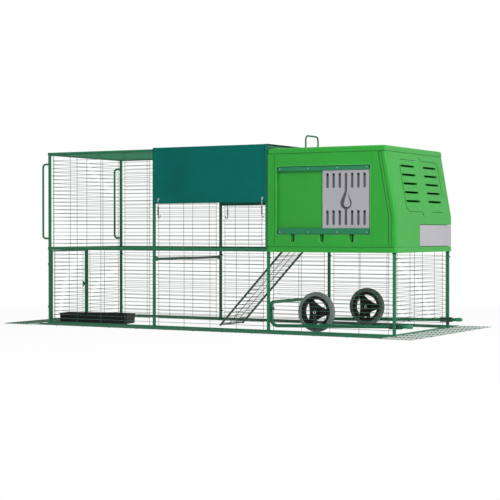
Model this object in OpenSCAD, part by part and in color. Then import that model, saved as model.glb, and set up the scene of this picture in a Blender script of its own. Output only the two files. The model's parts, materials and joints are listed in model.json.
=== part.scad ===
// Mobile hen house: a raised moulded coop on a wheeled tube frame, with a two-bay wire run.
// Frame: +X from the run towards the coop, -Y is the egg-port side, +Z up.
// The origin is on the ground at the middle of the footprint. Lengths are in millimetres.

/* [Run frame] */
// Length of one bay, post centre to post centre
bay_len = 1000; // [900:10:1100]
// Width of the run between post centres
frame_w = 987; // [900:1:1050]
// Height of the run to the top of its top rail
frame_h = 1360; // [1300:5:1420]
// Height of the middle rail's centre line
mid_z = 596; // [560:1:630]
// Diameter of posts and rails
tube_d = 25; // [22:0.5:28]
// Wall thickness of posts and rails
tube_wall = 2; // [1.5:0.5:3]
// Diameter of the ground rails
ground_rail_d = 13; // [11:0.5:16]
// Height of the foot blocks under the posts
foot_h = 14; // [14:1:18]
// Distance from the coop legs back to the upper run end posts
end_post_back = 13; // [10:0.5:16]

/* [Wire mesh] */
// Wire diameter
wire_d = 3; // [2:0.5:4]
// Spacing of the close wires
wire_pitch = 30; // [25:1:60]
// Gaps between cross wires in one bay
cross_gaps = 4; // [3:1:5]
// Distance from a post's centre to the nearest cross wire
mesh_inset = 42; // [38:1:50]
// Distance from a rail to the nearest close wire
mesh_edge = 27; // [20:1:30]
// A close wire reaches the posts once in this many
tie_every = 6; // [4:1:8]
// Width of the mesh skirt on the ground
skirt_w = 254; // [200:1:300]

/* [Grab handles] */
// Rod diameter of the grab handles
grab_d = 16; // [12:1:20]
// Stand-off from the post's centre to the rod's centre
grab_out = 67; // [55:1:80]
// Lowest point of a grab handle
grab_z0 = 667; // [650:1:700]
// Highest point of a grab handle
grab_z1 = 1275; // [1200:1:1290]
// Bend radius of the grab handles
grab_bend = 26; // [20:1:34]

/* [End door] */
// Diameter of the end door's rods
door_rod_d = 12; // [10:0.5:14]
// Distance from the corner post's centre to the hinge stile's centre
door_hinge_gap = 28; // [24:1:34]
// Distance from the centre post's centre to the latch stile's centre
door_latch_gap = 20; // [19.5:0.5:26]
// Height of the end door's lowest rod
door_z0 = 28; // [24:1:34]
// Height of the end door's highest rod
door_z1 = 575; // [550:1:576]
// Height of the latch spindle
latch_z = 300; // [260:1:340]
// Reach of the latch lever
latch_len = 56; // [50:1:62]
// Running clearance of pins and loops, on the radius
run_fit = 0.05; // [0.03:0.01:0.08]

/* [Cover] */
// Thickness of the cover cloth
cloth_t = 2; // [1.5:0.5:3]
// Thickness of the battens in the cover's two ends, which lie on the rails
batten_t = 7; // [4:0.5:10]
// Gap from the cover's coop end to the coop legs' centre line
cover_gap = 3; // [3:1:50]
// Drop of the cover down each side, from the top of the rails
cover_drop = 417; // [350:1:450]
// Length of a hook from its cord to the middle of its bend
hook_len = 58; // [50:1:66]
// Drop from the eyelets to about the wire that takes the hooks
hook_drop = 143; // [130:1:170]
// Distance of the eyelets from the cover's run end
eyelet_run = 52; // [50:1:60]
// Distance of the eyelets from the cover's coop end
eyelet_coop = 38; // [26:1:42]
// Height of the eyelets above the hem
eyelet_up = 32; // [26:1:40]
// Diameter of the elastic cord
bungee_d = 5; // [4:0.5:6]

/* [Perch, trough and ladder] */
// Perch bar diameter
perch_d = 21; // [18:1:24]
// Height of the perch bar
perch_z = 520; // [450:1:540]
// Trough length
trough_l = 590; // [500:10:700]
// Trough width
trough_w = 165; // [120:5:200]
// Trough height
trough_h = 78; // [60:1:100]
// Turn of the trough on the ground, in degrees
trough_turn = 10; // [0:1:15]
// Width of the ladder over its side rails
ladder_w = 360; // [340:1:420]
// Slope of the ladder in degrees
ladder_slope = 46.5; // [42:0.5:52]
// Side rail diameter
ladder_rail_d = 16; // [14:1:20]
// Spacing of the rungs
rung_pitch = 40; // [30:1:60]
// Height of the ladder's pivot pin above the coop floor
pivot_up = 14; // [13:1:18]
// Diameter of the pivot pin
pivot_d = 8; // [6:1:9]

/* [Wheels] */
// Tyre diameter
wheel_d = 290; // [260:2:300]
// Tyre width
wheel_w = 40; // [34:1:44]
// Rim diameter
rim_d = 230; // [206:2:240]
// Axle diameter
axle_d = 16; // [12:1:18]
// Distance from the coop legs' near pair to the wheel axis
wheel_x = 360; // [330:5:400]
// Height of the tyre above the ground
wheel_lift = 5; // [3:1:8]
// Distance from the post's centre to the wheel frame tube's centre
wheel_tube_in = 27; // [26.5:0.5:32]
// Height of the wheel frame's low tubes at their front bend
wheel_tube_z = 42; // [38:1:48]
// Upward slope of the low tubes in degrees
wheel_tube_slope = 1.4; // [0.5:0.1:2]
// Height of the cross tube above the low tubes
cross_tube_up = 172; // [165:1:210]
// How far the low tubes pass the end posts
grip_past = 130; // [110:1:150]

/* [Coop] */
// Overhang of the coop past the post centres at the sides
coop_side_over = 22; // [20:1:26]
// Overhang of the coop past the post centres at the tail
coop_tail_over = 25; // [22:1:28]
// Gap from the front legs' centre to the coop's front wall
coop_head_gap = 4; // [3:0.5:6]
// How far the coop's sides lap over the run's end posts
coop_lap = 12; // [8:1:19]
// Rounding of the roof's upper edge
roof_round = 20; // [14:1:30]
// Depth of the base rim below its floor
rim_depth = 27.5; // [24:0.5:32]
// Thickness of the base's floor
floor_t = 11.5; // [10:0.5:14]
// Height of the walls above the floor
wall_h = 673; // [620:1:700]
// Wall thickness of the moulded shell
wall_t = 45; // [40:1:50]
// Height above the floor at which the tail wall starts to lean in
fold_up = 220; // [200:1:240]
// How far the tail wall leans in at the lid line
lean_in = 82; // [70:1:90]
// Corner radius of the shell in plan
corner_r = 22; // [18:1:28]
// Height of the roof's rounded edge
roof_edge = 42; // [36:1:50]
// Height of the roof's crown above its edge
roof_crown = 10; // [6:1:16]
// Thickness of the roof moulding
roof_t = 18; // [14:1:22]

/* [Egg port] */
// Distance from the front wall to the recess
recess_x = 71; // [66:1:80]
// Distance from the recess to the coop's tail
recess_tail = 199; // [180:1:220]
// Height of the recess above the floor
recess_up = 86; // [80:1:96]
// Height of the recess itself
recess_h = 496; // [480:1:510]
// Depth of the recess
recess_depth = 24; // [22:0.5:28]
// Height of the lower slide rail
rail_lo_h = 42; // [36:1:46]
// Height of the upper slide rail
rail_hi_h = 30; // [26:1:34]
// Thickness of the sliding door
port_door_t = 14; // [12:0.5:15]
// Thickness of the rail lips over the sliding door
rail_lip_t = 5; // [4:0.5:6]
// Width of the recess that the sliding door leaves open
port_open = 360; // [350:1:380]
// How far the door's edges enter the rails
rail_grip = 8; // [6:1:10]
// Vent slots in one row of the sliding door
port_slots = 7; // [5:2:9]
// Width of a vent slot in the sliding door
port_slot_w = 21; // [12:1:22]
// Width of the finger recess
finger_w = 91; // [80:1:96]
// Height of the finger recess
finger_h = 149; // [130:1:155]

/* [Tail door and tray] */
// Depth of the tail door
tail_door_depth = 38; // [34:1:42]
// Depth of the fixed surround ahead of the tail door
surround_depth = 22; // [18:1:26]
// Thickness of the tail door's panel
tail_panel_t = 18; // [14:1:22]
// Gap around the tail door
tail_gap = 1; // [0.8:0.1:1.5]
// Rows of vents in the tail door
vent_rows = 5; // [3:1:6]
// Length of a tail vent
vent_l = 240; // [200:5:250]
// Height of a tail vent
vent_h = 15; // [12:1:18]
// Spacing of the tail vents
vent_pitch = 62.6; // [50:0.2:64]
// Distance from the coop's egg-port side to the tray's front
tray_side = 418; // [400:1:470]
// Height of the tray's front
tray_front_h = 154; // [140:1:160]
// Height of the tray's sides
tray_h = 58; // [40:1:64]
// Diameter of the tail door's hinge pins
hinge_pin_d = 8; // [6:1:9]

/* [Pop door] */
// Clear width of the doorway
pop_w = 300; // [260:5:320]
// Clear height of the doorway
pop_h = 290; // [260:5:300]
// Distance from the shell's front wall to the middle of the door
pop_x = 97; // [92:1:104]
// Door thickness
pop_t = 14; // [10:1:16]
// Rod diameter of the lift handle
lift_d = 13; // [10:1:14]
// Width of the lift handle
lift_w = 215; // [160:5:220]
// Height of the lift handle above the roof crown
lift_up = 111; // [90:1:120]

/* [Hidden] */
$fn = 48;
frame_green = [0.10, 0.40, 0.27];
dark_green = [0.03, 0.24, 0.16];
coop_green = [0.22, 0.58, 0.23];
mesh_grey = [0.45, 0.52, 0.49];
vent_grey = [0.75, 0.75, 0.78];
black = [0.05, 0.06, 0.06];
steel = [0.62, 0.64, 0.65];
tyre_grey = [0.30, 0.32, 0.33];
cover_teal = [0.02, 0.28, 0.28];

far = 4000;
eps = 0.01;
air = 0.3;
tube_r = tube_d / 2;
x0 = -1.5 * bay_len;
x1 = x0 + bay_len;
x2 = x1 + bay_len;
x3 = x2 + bay_len;
y0 = -frame_w / 2;
y1 = frame_w / 2;
sides = [-1, 1];
top_z = frame_h - tube_r;
end_x = x2 - end_post_back;
mid_lo = mid_z - tube_r;
mid_hi = mid_z + tube_r;
top_lo = top_z - tube_r;

// Shared shapes

// Straight round bar between two points
module bar(p, q, d) {
  v = q - p;
  l = norm(v);
  translate(p)
    rotate([0, acos(v.z / l), atan2(v.y, v.x)])
      cylinder(d = d, h = l);
}

// Straight tube between two points
module tube(p, q, d, wall) {
  v = (q - p) / norm(q - p);
  difference() {
    bar(p, q, d);
    bar(p - v, q + v, d - 2 * wall);
  }
}

// Quarter of a bent rod in the XY plane, from +X towards +Y
module bend(r, d, angle = 90) {
  rotate_extrude(angle = angle)
    translate([r, 0])
      circle(d = d);
}

// Rectangle with round corners, lower left corner at the origin
module round_rect(w, h, r) {
  translate([r, 0]) square([w - 2 * r, h]);
  translate([0, r]) square([w, h - 2 * r]);
  for (x = [r, w - r], y = [r, h - r])
    translate([x, y]) circle(r = r);
}

// Straight strip with round ends, centred, along x
module stadium(l, w) {
  square([l - w, w], center = true);
  for (s = sides)
    translate([s * (l - w) / 2, 0]) circle(d = w);
}

// Box given by its low and high corners
module block(lo, hi) {
  translate(lo) cube(hi - lo);
}

// Flat grid of wires at the given x and y places
module wire_grid(xs, ys) {
  r = wire_d / 2;
  nx = len(xs) - 1;
  ny = len(ys) - 1;
  outer = [
    [xs[0] - r, ys[0] - r], [xs[nx] + r, ys[0] - r],
    [xs[nx] + r, ys[ny] + r], [xs[0] - r, ys[ny] + r]
  ];
  gaps = [
    for (j = [0 : ny - 1], i = [0 : nx - 1])
      each [
        [xs[i] + r, ys[j] + r], [xs[i + 1] - r, ys[j] + r],
        [xs[i + 1] - r, ys[j + 1] - r], [xs[i] + r, ys[j + 1] - r]
      ]
  ];
  loops = [for (k = [0 : nx * ny]) [4 * k, 4 * k + 1, 4 * k + 2, 4 * k + 3]];
  polygon(concat(outer, gaps), loops);
}

// Welded panel that fills a w by h opening: cross wires meet the rails, some close wires meet the posts
module weld_mesh(w, h, gaps, inset, edge, pitch = wire_pitch, tie = tie_every, low = true, high = true) {
  r = wire_d / 2;
  rows = floor((h - 2 * edge) / pitch);
  xs = [for (i = [0 : gaps]) inset + i * (w - 2 * inset) / gaps];
  ys = [for (k = [0 : rows]) edge + k * pitch];
  linear_extrude(wire_d, center = true) {
    wire_grid(xs, ys);
    for (x = xs) {
      if (low) translate([x - r, 0]) square([wire_d, ys[0]]);
      if (high) translate([x - r, ys[rows]]) square([wire_d, h - ys[rows]]);
    }
    for (k = [0 : tie : rows]) {
      translate([0, ys[k] - r]) square([xs[0], wire_d]);
      translate([xs[gaps], ys[k] - r]) square([w - xs[gaps], wire_d]);
    }
  }
}

// Foot blocks, joints, posts and rails of the tube frame

post_corners = [for (x = [x0, x1], y = [y0, y1]) [x, y]];
leg_corners = [for (x = [x2, x3], y = [y0, y1]) [x, y]];
end_corners = [for (y = [y0, y1]) [end_x, y]];
centre_post = [x0, 0];

module foot_shapes() {
  for (p = concat(post_corners, leg_corners, [centre_post]))
    translate([p.x, p.y, foot_h / 2]) cube([tube_d, tube_d, foot_h], center = true);
}

module foot_blocks() {
  color(frame_green) foot_shapes();
}

module joint_block(x, y, z) {
  translate([x, y, z]) cube(tube_d, center = true);
}

module frame_joints() {
  color(frame_green) {
    for (p = post_corners, z = [mid_z, top_z]) joint_block(p.x, p.y, z);
    for (p = end_corners) joint_block(p.x, p.y, top_z);
    for (y = [y0, y1]) {
      joint_block(x3, y, mid_z);
      block([end_x - tube_r, y - tube_r, mid_lo], [x2 + tube_r, y + tube_r, mid_hi]);
    }
  }
}

module upright(p, lo, hi) {
  tube([p.x, p.y, lo], [p.x, p.y, hi], tube_d, tube_wall);
}

module run_posts() {
  color(frame_green) {
    for (p = post_corners) {
      upright(p, foot_h, mid_lo);
      upright(p, mid_hi, top_lo);
    }
    for (p = end_corners) upright(p, mid_hi, top_lo);
    upright(centre_post, foot_h, mid_lo);
  }
}

module coop_legs() {
  color(frame_green)
    for (p = leg_corners) upright(p, foot_h, mid_lo);
}

// Rail along X or Y between two joints, set in by the joints' half width
module rail_x(a, b, y, z) {
  tube([a + tube_r, y, z], [b - tube_r, y, z], tube_d, tube_wall);
}

module rail_y(x, z) {
  tube([x, y0 + tube_r, z], [x, y1 - tube_r, z], tube_d, tube_wall);
}

module top_rails() {
  color(frame_green) {
    for (y = [y0, y1]) {
      rail_x(x0, x1, y, top_z);
      rail_x(x1, end_x, y, top_z);
    }
    for (x = [x0, x1, end_x]) rail_y(x, top_z);
  }
}

module mid_rails() {
  color(frame_green) {
    for (y = [y0, y1]) {
      rail_x(x0, x1, y, mid_z);
      rail_x(x1, end_x, y, mid_z);
      rail_x(x2, x3, y, mid_z);
    }
    for (x = [x0, x2, x3]) rail_y(x, mid_z);
  }
}

ground_r = ground_rail_d / 2;

module ground_rails() {
  color(frame_green) {
    for (y = [y0, y1], k = [0 : 2])
      bar(
        [x0 + k * bay_len + tube_r, y, ground_r],
        [x0 + (k + 1) * bay_len - tube_r, y, ground_r],
        ground_rail_d
      );
    bar([x3, y0 + tube_r, ground_r], [x3, y1 - tube_r, ground_r], ground_rail_d);
    for (s = sides)
      bar([x0, s * tube_r, ground_r], [x0, s * (y1 - tube_r), ground_r], ground_rail_d);
  }
}

// Wire panels. Each fills the opening between its posts and rails.

bay_gap = bay_len - tube_d;
bay_inset = mesh_inset - tube_r;
end_gap = frame_w - tube_d;
low_z = ground_rail_d;
low_gap = mid_lo - low_z;
high_gap = top_lo - mid_hi;
// The last upper bay is shorter, because its end posts stand ahead of the coop legs
last_gap = bay_gap - end_post_back;

module side_mesh(bay, y, z, w, h) {
  color(mesh_grey)
    translate([x0 + bay * bay_len + tube_r, y, z])
      rotate([90, 0, 0])
        weld_mesh(w, h, cross_gaps, bay_inset, mesh_edge);
}

module lower_meshes(y) {
  for (bay = [0 : 2]) side_mesh(bay, y, low_z, bay_gap, low_gap);
}

module upper_meshes(y) {
  side_mesh(0, y, mid_hi, bay_gap, high_gap);
  side_mesh(1, y, mid_hi, last_gap, high_gap);
}

module front_mesh_lower() { lower_meshes(y0); }
module back_mesh_lower() { lower_meshes(y1); }
module front_mesh_upper() { upper_meshes(y0); }
module back_mesh_upper() { upper_meshes(y1); }

module cross_mesh(x, y, z, w, h, gaps, low = true) {
  color(mesh_grey)
    translate([x, y, z])
      rotate([90, 0, 90])
        weld_mesh(w, h, gaps, bay_inset, mesh_edge, low = low);
}

module end_mesh_upper() { cross_mesh(x0, y0 + tube_r, mid_hi, end_gap, high_gap, cross_gaps); }
module end_mesh_lower() { cross_mesh(x0, tube_r, low_z, y1 - tube_d, low_gap, ceil(cross_gaps / 2)); }

// The tail panel stops above the wheel frame's tubes
tail_low = wheel_tube_z + bay_len * tan(wheel_tube_slope);

module tail_mesh() {
  cross_mesh(x3, y0 + tube_r, tail_low, end_gap, mid_lo - tail_low, cross_gaps, low = false);
}

module roof_panel(x, w) {
  color(mesh_grey)
    translate([x + tube_r, y0 + tube_r, top_z])
      weld_mesh(w, end_gap, cross_gaps, bay_inset, mesh_edge);
}

module roof_mesh() {
  roof_panel(x0, bay_gap);
  roof_panel(x1, last_gap);
}

// Skirt wires meet the ground rail just above the ground
skirt_touch = sqrt(pow(ground_r, 2) - pow(ground_r - wire_d, 2)) + 0.1;

module skirt_grid(l, gaps) {
  r = wire_d / 2;
  rows = floor((skirt_w - mesh_edge) / wire_pitch);
  xs = [for (i = [0 : gaps]) r + i * (l - wire_d) / gaps];
  ys = [for (k = [0 : rows]) r + k * wire_pitch];
  linear_extrude(wire_d) {
    wire_grid(xs, ys);
    for (x = xs)
      translate([x - r, ys[rows]]) square([wire_d, skirt_w - skirt_touch - ys[rows]]);
  }
}

side_skirt_l = x3 - x0;
end_skirt_l = frame_w + 2 * skirt_w;

// The wires stop at the foot blocks
module ground_skirts() {
  color(mesh_grey)
    for (turn = [0, 180])
      difference() {
        rotate(turn) {
          translate([x0, y0 - skirt_w, 0]) skirt_grid(side_skirt_l, 3 * cross_gaps);
          translate([x3 + skirt_w, -end_skirt_l / 2, 0]) rotate(90) skirt_grid(end_skirt_l, 2 * cross_gaps);
        }
        foot_shapes();
      }
}

// Handles and knobs on the posts

// Solid of a post, to cope what is welded to it
module post_core(x, y) {
  translate([x, y, 0]) cylinder(d = tube_d, h = frame_h);
}

module grab_handle(y) {
  lo = grab_z0 + grab_d / 2;
  hi = grab_z1 - grab_d / 2;
  in = grab_out - grab_bend;
  difference() {
    translate([x0, y, 0]) {
      for (z = [lo, hi]) bar([0, 0, z], [-in, 0, z], grab_d);
      bar([-grab_out, 0, lo + grab_bend], [-grab_out, 0, hi - grab_bend], grab_d);
      translate([-in, 0, lo + grab_bend]) rotate([90, 180, 0]) bend(grab_bend, grab_d);
      translate([-in, 0, hi - grab_bend]) rotate([90, 0, 0]) mirror([1, 0, 0]) bend(grab_bend, grab_d);
    }
    post_core(x0, y);
  }
}

module grab_handles() {
  color(frame_green)
    for (y = [y0, y1]) grab_handle(y);
}

knob_d = 9;
knob_out = 9;
knob_zs = [78, 540];

module panel_knobs() {
  color(dark_green)
    for (p = concat(post_corners, leg_corners), z = knob_zs)
      difference() {
        bar([p.x, p.y, z], [p.x + tube_r + knob_out, p.y, z], knob_d);
        post_core(p.x, p.y);
      }
}

// End door, hung on loops around the near corner post

door_ya = y0 + door_hinge_gap;
door_yb = -door_latch_gap;
door_bar_d = door_rod_d - 1;
loop_wall = 4;
loop_h = 18;
loop_zs = [130, 470];
spindle_d = 8;
spindle_y = door_yb - 16;
lug_half = 7;
lug_h = 24;

module post_loop(z) {
  translate([x0, y0, z - loop_h / 2])
    difference() {
      union() {
        cylinder(r = tube_r + run_fit + loop_wall, h = loop_h);
        block([-loop_wall, 0, 0], [loop_wall, door_hinge_gap, loop_h]);
      }
      translate([0, 0, -1]) cylinder(r = tube_r + run_fit, h = loop_h + 2);
    }
}

module end_door_frame() {
  color(dark_green)
    difference() {
      union() {
        for (y = [door_ya, door_yb])
          bar([x0, y, door_z0 - door_rod_d / 2], [x0, y, door_z1 + door_rod_d / 2], door_rod_d);
        for (z = [door_z0, door_z1])
          bar([x0, door_ya, z], [x0, door_yb, z], door_bar_d);
        for (z = loop_zs) post_loop(z);
        block(
          [x0 - lug_half, spindle_y - spindle_d, latch_z - lug_h / 2],
          [x0 + lug_half, door_yb, latch_z + lug_h / 2]
        );
      }
      bar([x0 - far, spindle_y, latch_z], [x0 + far, spindle_y, latch_z], spindle_d + 2 * run_fit);
    }
}

module end_door_mesh() {
  lo = door_z0 + door_bar_d / 2;
  hi = door_z1 - door_bar_d / 2;
  color(mesh_grey)
    translate([x0, door_ya + door_rod_d / 2, lo])
      rotate([90, 0, 90])
        weld_mesh(door_yb - door_ya - door_rod_d, hi - lo, ceil(cross_gaps / 2), bay_inset, mesh_edge);
}

handle_h = 48;
handle_w = 11;
handle_t = 6;
lever_w = 14;
lever_t = 6;
lever_x = tube_r + 3;

module end_door_latch() {
  handle_x = -lug_half - air - handle_t;
  color(frame_green)
    translate([x0, spindle_y, latch_z]) {
      bar([handle_x, 0, 0], [lever_x + lever_t, 0, 0], spindle_d);
      block([handle_x, -handle_w / 2, -handle_h / 2], [handle_x + handle_t, handle_w / 2, handle_h / 2]);
      bar([lever_x, 0, 0], [lever_x + lever_t, 0, 0], lever_w);
      block([lever_x, -lever_w / 2, -latch_len], [lever_x + lever_t, lever_w / 2, 0]);
    }
}

// Cover over the roof beside the coop, with eyelets, elastic cords and hooks

cover_w = bay_len - cover_gap;
batten_w = 20;
cover_slack = 4;
cover_corner = 5;
cover_in_y = y1 + tube_r + cover_slack;
cover_out_y = cover_in_y + cloth_t;
hem_z = frame_h - cover_drop;
eyelet_xs = [x1 + eyelet_run, x1 + cover_w - eyelet_coop];
eyelet_z = hem_z + eyelet_up;
eyelet_in_d = 10;
eyelet_out_d = 18;
eyelet_t = 1.5;
hook_d = 5;
knot_d = 12;
cord_y = cover_out_y + eyelet_t + air + knot_d / 2;
hook_room = 2;
hook_tip_y = y1 - wire_d / 2 - hook_d / 2 - hook_room;
hook_r = (cord_y - hook_tip_y) / 2;
hook_mid_y = (cord_y + hook_tip_y) / 2;
// How far the hook's bend stands over and hangs under the wire that takes it
hook_reach = hook_mid_y - y1 + wire_d / 2;
hook_over = sqrt(pow(hook_r - hook_d / 2, 2) - pow(hook_reach, 2)) - wire_d / 2 - air;
hook_under = hook_r + hook_d / 2 - hook_over;
// The wire nearest the hooks' drop whose hooks hang clear of the middle rail
first_wire_z = mid_hi + mesh_edge;
clear_row = ceil((hook_under + air - mesh_edge) / wire_pitch);
hook_row = max(clear_row, round((eyelet_z - hook_drop - first_wire_z) / wire_pitch));
hook_wire_z = first_wire_z + wire_pitch * hook_row;
hook_bend_z = hook_wire_z + hook_over;
hook_top_z = hook_bend_z + hook_len;

module rounded_top(w, h, r) {
  translate([-w / 2, 0]) {
    square([w, h - r]);
    translate([r, 0]) square([w - 2 * r, h]);
    for (x = [r, w - r]) translate([x, h - r]) circle(r = r);
  }
}

module shade_cover() {
  rise = cover_drop + air + batten_t;
  color(cover_teal)
    difference() {
      union() {
        translate([x1, 0, hem_z])
          rotate([90, 0, 90])
            linear_extrude(cover_w)
              difference() {
                rounded_top(2 * cover_out_y, rise + cloth_t, cover_corner + cloth_t);
                translate([0, -1]) rounded_top(2 * cover_in_y, rise + 1, cover_corner);
              }
        for (x = [x1, x1 + cover_w - batten_w])
          block(
            [x, y0 - tube_r, frame_h + air],
            [x + batten_w, y1 + tube_r, frame_h + air + batten_t + cloth_t / 2]
          );
      }
      for (x = eyelet_xs) bar([x, -far, eyelet_z], [x, far, eyelet_z], eyelet_in_d);
    }
}

module cover_eyelets() {
  color(steel)
    for (x = eyelet_xs, s = sides)
      difference() {
        bar([x, s * cover_out_y, eyelet_z], [x, s * (cover_out_y + eyelet_t), eyelet_z], eyelet_out_d);
        bar([x, -far, eyelet_z], [x, far, eyelet_z], eyelet_in_d);
      }
}

module bungee_cords() {
  color(steel)
    for (x = eyelet_xs, s = sides) {
      translate([x, s * cord_y, eyelet_z]) sphere(d = knot_d);
      bar([x, s * cord_y, hook_top_z], [x, s * cord_y, eyelet_z], bungee_d);
    }
}

module bungee_hook() {
  bar([0, cord_y, hook_bend_z], [0, cord_y, hook_top_z], hook_d);
  translate([0, hook_mid_y, hook_bend_z]) rotate([-90, 0, 90]) bend(hook_r, hook_d, 180);
  bar([0, hook_tip_y, hook_bend_z], [0, hook_tip_y, hook_bend_z + hook_d], hook_d);
}

module bungee_hooks() {
  color(black)
    for (x = eyelet_xs) translate([x, 0, 0]) {
      bungee_hook();
      mirror([0, 1, 0]) bungee_hook();
    }
}

// Perch between the middle posts, and the feed trough

sleeve_l = 28;
sleeve_wall = 5;

module perch_bar() {
  color(dark_green)
    difference() {
      bar([x1, y0, perch_z], [x1, y1, perch_z], perch_d);
      for (y = [y0, y1]) post_core(x1, y);
    }
}

module perch_brackets() {
  color(black)
    for (s = sides)
      difference() {
        bar([x1, s * y1, perch_z], [x1, s * (y1 - tube_r - sleeve_l), perch_z], perch_d + 2 * sleeve_wall);
        bar([x1, y0, perch_z], [x1, y1, perch_z], perch_d + 2 * run_fit);
        post_core(x1, s * y1);
      }
}

trough_in = 54;
trough_taper = 5;
trough_wall = 4;
trough_lip = 8;

module tub(grow, base) {
  hull() {
    translate([trough_taper - grow, trough_taper - grow, base])
      cube([trough_l - 2 * trough_taper + 2 * grow, trough_w - 2 * trough_taper + 2 * grow, eps]);
    translate([-grow, -grow, trough_h])
      cube([trough_l + 2 * grow, trough_w + 2 * grow, eps]);
  }
}

module feed_trough() {
  color(black)
    translate([x0 + trough_in, y0 + trough_in, 0])
      rotate(trough_turn)
        difference() {
          union() {
            tub(0, 0);
            translate([-trough_lip, -trough_lip, trough_h - trough_wall])
              cube([trough_l + 2 * trough_lip, trough_w + 2 * trough_lip, trough_wall]);
          }
          tub(-trough_wall, trough_wall);
        }
}

// Coop outline, shared by the pieces of the house

floor_z = mid_hi + floor_t;
lid_z = floor_z + wall_h;
fold_z = floor_z + fold_up;
lean = atan(lean_in / (lid_z - fold_z));
cx0 = x2 + coop_head_gap;
cx1 = x3 + coop_tail_over;
cy = y1 + coop_side_over;
lap_gap = 0.4;
lap_y = y1 + tube_r + lap_gap;
shell_back = tail_door_depth + surround_depth;

// Tail face at height z, set in by a distance along X
function tail_x(z, in) = cx1 - in - max(0, z - fold_z) * tan(lean);

// Outside of the walls from one height to another
module coop_outer(lo, hi, lap = 0) {
  intersection() {
    translate([cx0 - lap, -cy, lo])
      linear_extrude(hi - lo) round_rect(cx1 - cx0 + lap, 2 * cy, corner_r);
    translate([cx1, -cy, fold_z])
      rotate([0, -lean, 0])
        translate([-far, 0, -far / 2])
          linear_extrude(far) round_rect(far, 2 * cy, corner_r + 1);
  }
}

// Slice of the tail between two distances in from the tail face
module tail_slice(near, deep) {
  lo = floor_z - rim_depth;
  hi = lid_z + roof_edge;
  rotate([90, 0, 0])
    linear_extrude(far, center = true)
      polygon([
        [tail_x(lo, deep), lo], [tail_x(lo, near), lo], [tail_x(fold_z, near), fold_z],
        [tail_x(hi, near), hi], [tail_x(hi, deep), hi], [tail_x(fold_z, deep), fold_z]
      ]);
}

// Space between the side laps, ahead of the front wall
module lap_space(lo, hi) {
  block([cx0 - coop_lap - 1, -lap_y, lo - 1], [cx0, lap_y, hi + 1]);
}

// Room inside the walls
module coop_room(lo, hi) {
  block([cx0 + wall_t, -cy + wall_t, lo], [cx1 + far, cy - wall_t, hi]);
}

module coop_base() {
  base_z = mid_hi - rim_depth;
  color(coop_green)
    difference() {
      translate([cx0 - coop_lap, -cy, base_z])
        linear_extrude(rim_depth + floor_t) round_rect(cx1 - cx0 + coop_lap, 2 * cy, corner_r);
      lap_space(base_z, floor_z);
      block([cx0 - coop_lap - 1, -lap_y, base_z - 1], [x3 + tube_r + air, lap_y, mid_hi]);
    }
}

// Sizes of the egg port: slide rails in the recess, door between them

recess_r = 20;
recess_l = cx1 - cx0 - recess_x - recess_tail;
rail_margin = 12;
rail_x0 = cx0 + recess_x + rail_margin;
rail_x1 = cx0 + recess_x + recess_l - rail_margin;
rail_gap = 6;
recess_z0 = floor_z + recess_up;
recess_z1 = recess_z0 + recess_h;
rail_lo_z = recess_z0 + rail_gap;
rail_hi_z = recess_z1 - rail_gap - rail_hi_h;
seat_y = -cy + recess_depth;
port_gap = 0.5;
lip_y = seat_y - port_door_t - 2 * port_gap;
port_door_l = rail_x1 - rail_x0 - port_open;
port_x0 = rail_x1 - port_door_l;
port_lo = rail_lo_z + rail_lo_h - rail_grip;
port_hi = rail_hi_z + rail_grip;
port_margin = 30;
notch_w = 37;
notch_h = 58;
notch_depth = recess_depth;
notch_in = 135;
notch_shift = 5.5;
notch_count = 3;
notch_pitch = (recess_l - 2 * notch_in - 2 * notch_shift) / (notch_count - 1);
pop_sill = 20;

function notch_x(k) = cx0 + recess_x + notch_in + k * notch_pitch;

module notch(x) {
  translate([x, -cy + notch_depth, recess_z0])
    rotate([90, 0, 0])
      linear_extrude(notch_depth + 1) {
        translate([-notch_w / 2, -notch_h + notch_w / 2]) square([notch_w, notch_h]);
        translate([0, -notch_h + notch_w / 2]) circle(d = notch_w);
      }
}

module coop_shell() {
  color(coop_green)
    difference() {
      intersection() {
        coop_outer(floor_z, lid_z, coop_lap);
        tail_slice(shell_back, far / 2);
      }
      lap_space(floor_z, lid_z);
      coop_room(floor_z - 1, lid_z + 1);
      translate([cx0 + recess_x, seat_y, recess_z0])
        rotate([90, 0, 0])
          linear_extrude(recess_depth + 1) round_rect(recess_l, recess_h, recess_r);
      block(
        [port_x0 + port_margin, -cy - 1, port_lo + port_margin + rail_grip],
        [rail_x1 - port_margin, -cy + wall_t + 1, port_hi - port_margin - rail_grip]
      );
      for (k = [0 : notch_count - 1]) notch(notch_x(k));
      block(
        [cx0 - 1, -pop_w / 2, floor_z + pop_sill],
        [cx0 + wall_t + 1, pop_w / 2, floor_z + pop_sill + pop_h]
      );
    }
}

lift_x = cx0 + pop_x;
lift_y = (lift_w - lift_d) / 2;
lift_room = 0.5;
roof_gap = 1;
roof_corner_r = 16;
roof_x0 = end_x + tube_r + roof_gap;
roof_len = tail_x(lid_z, 0) - roof_x0;
roof_steps = 6;
crown_in = 260;

// Outline of the roof at one height
module roof_plate(in, z) {
  translate([roof_x0 + in, -cy + in, z])
    linear_extrude(eps) round_rect(roof_len - 2 * in, 2 * (cy - in), roof_corner_r);
}

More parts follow.
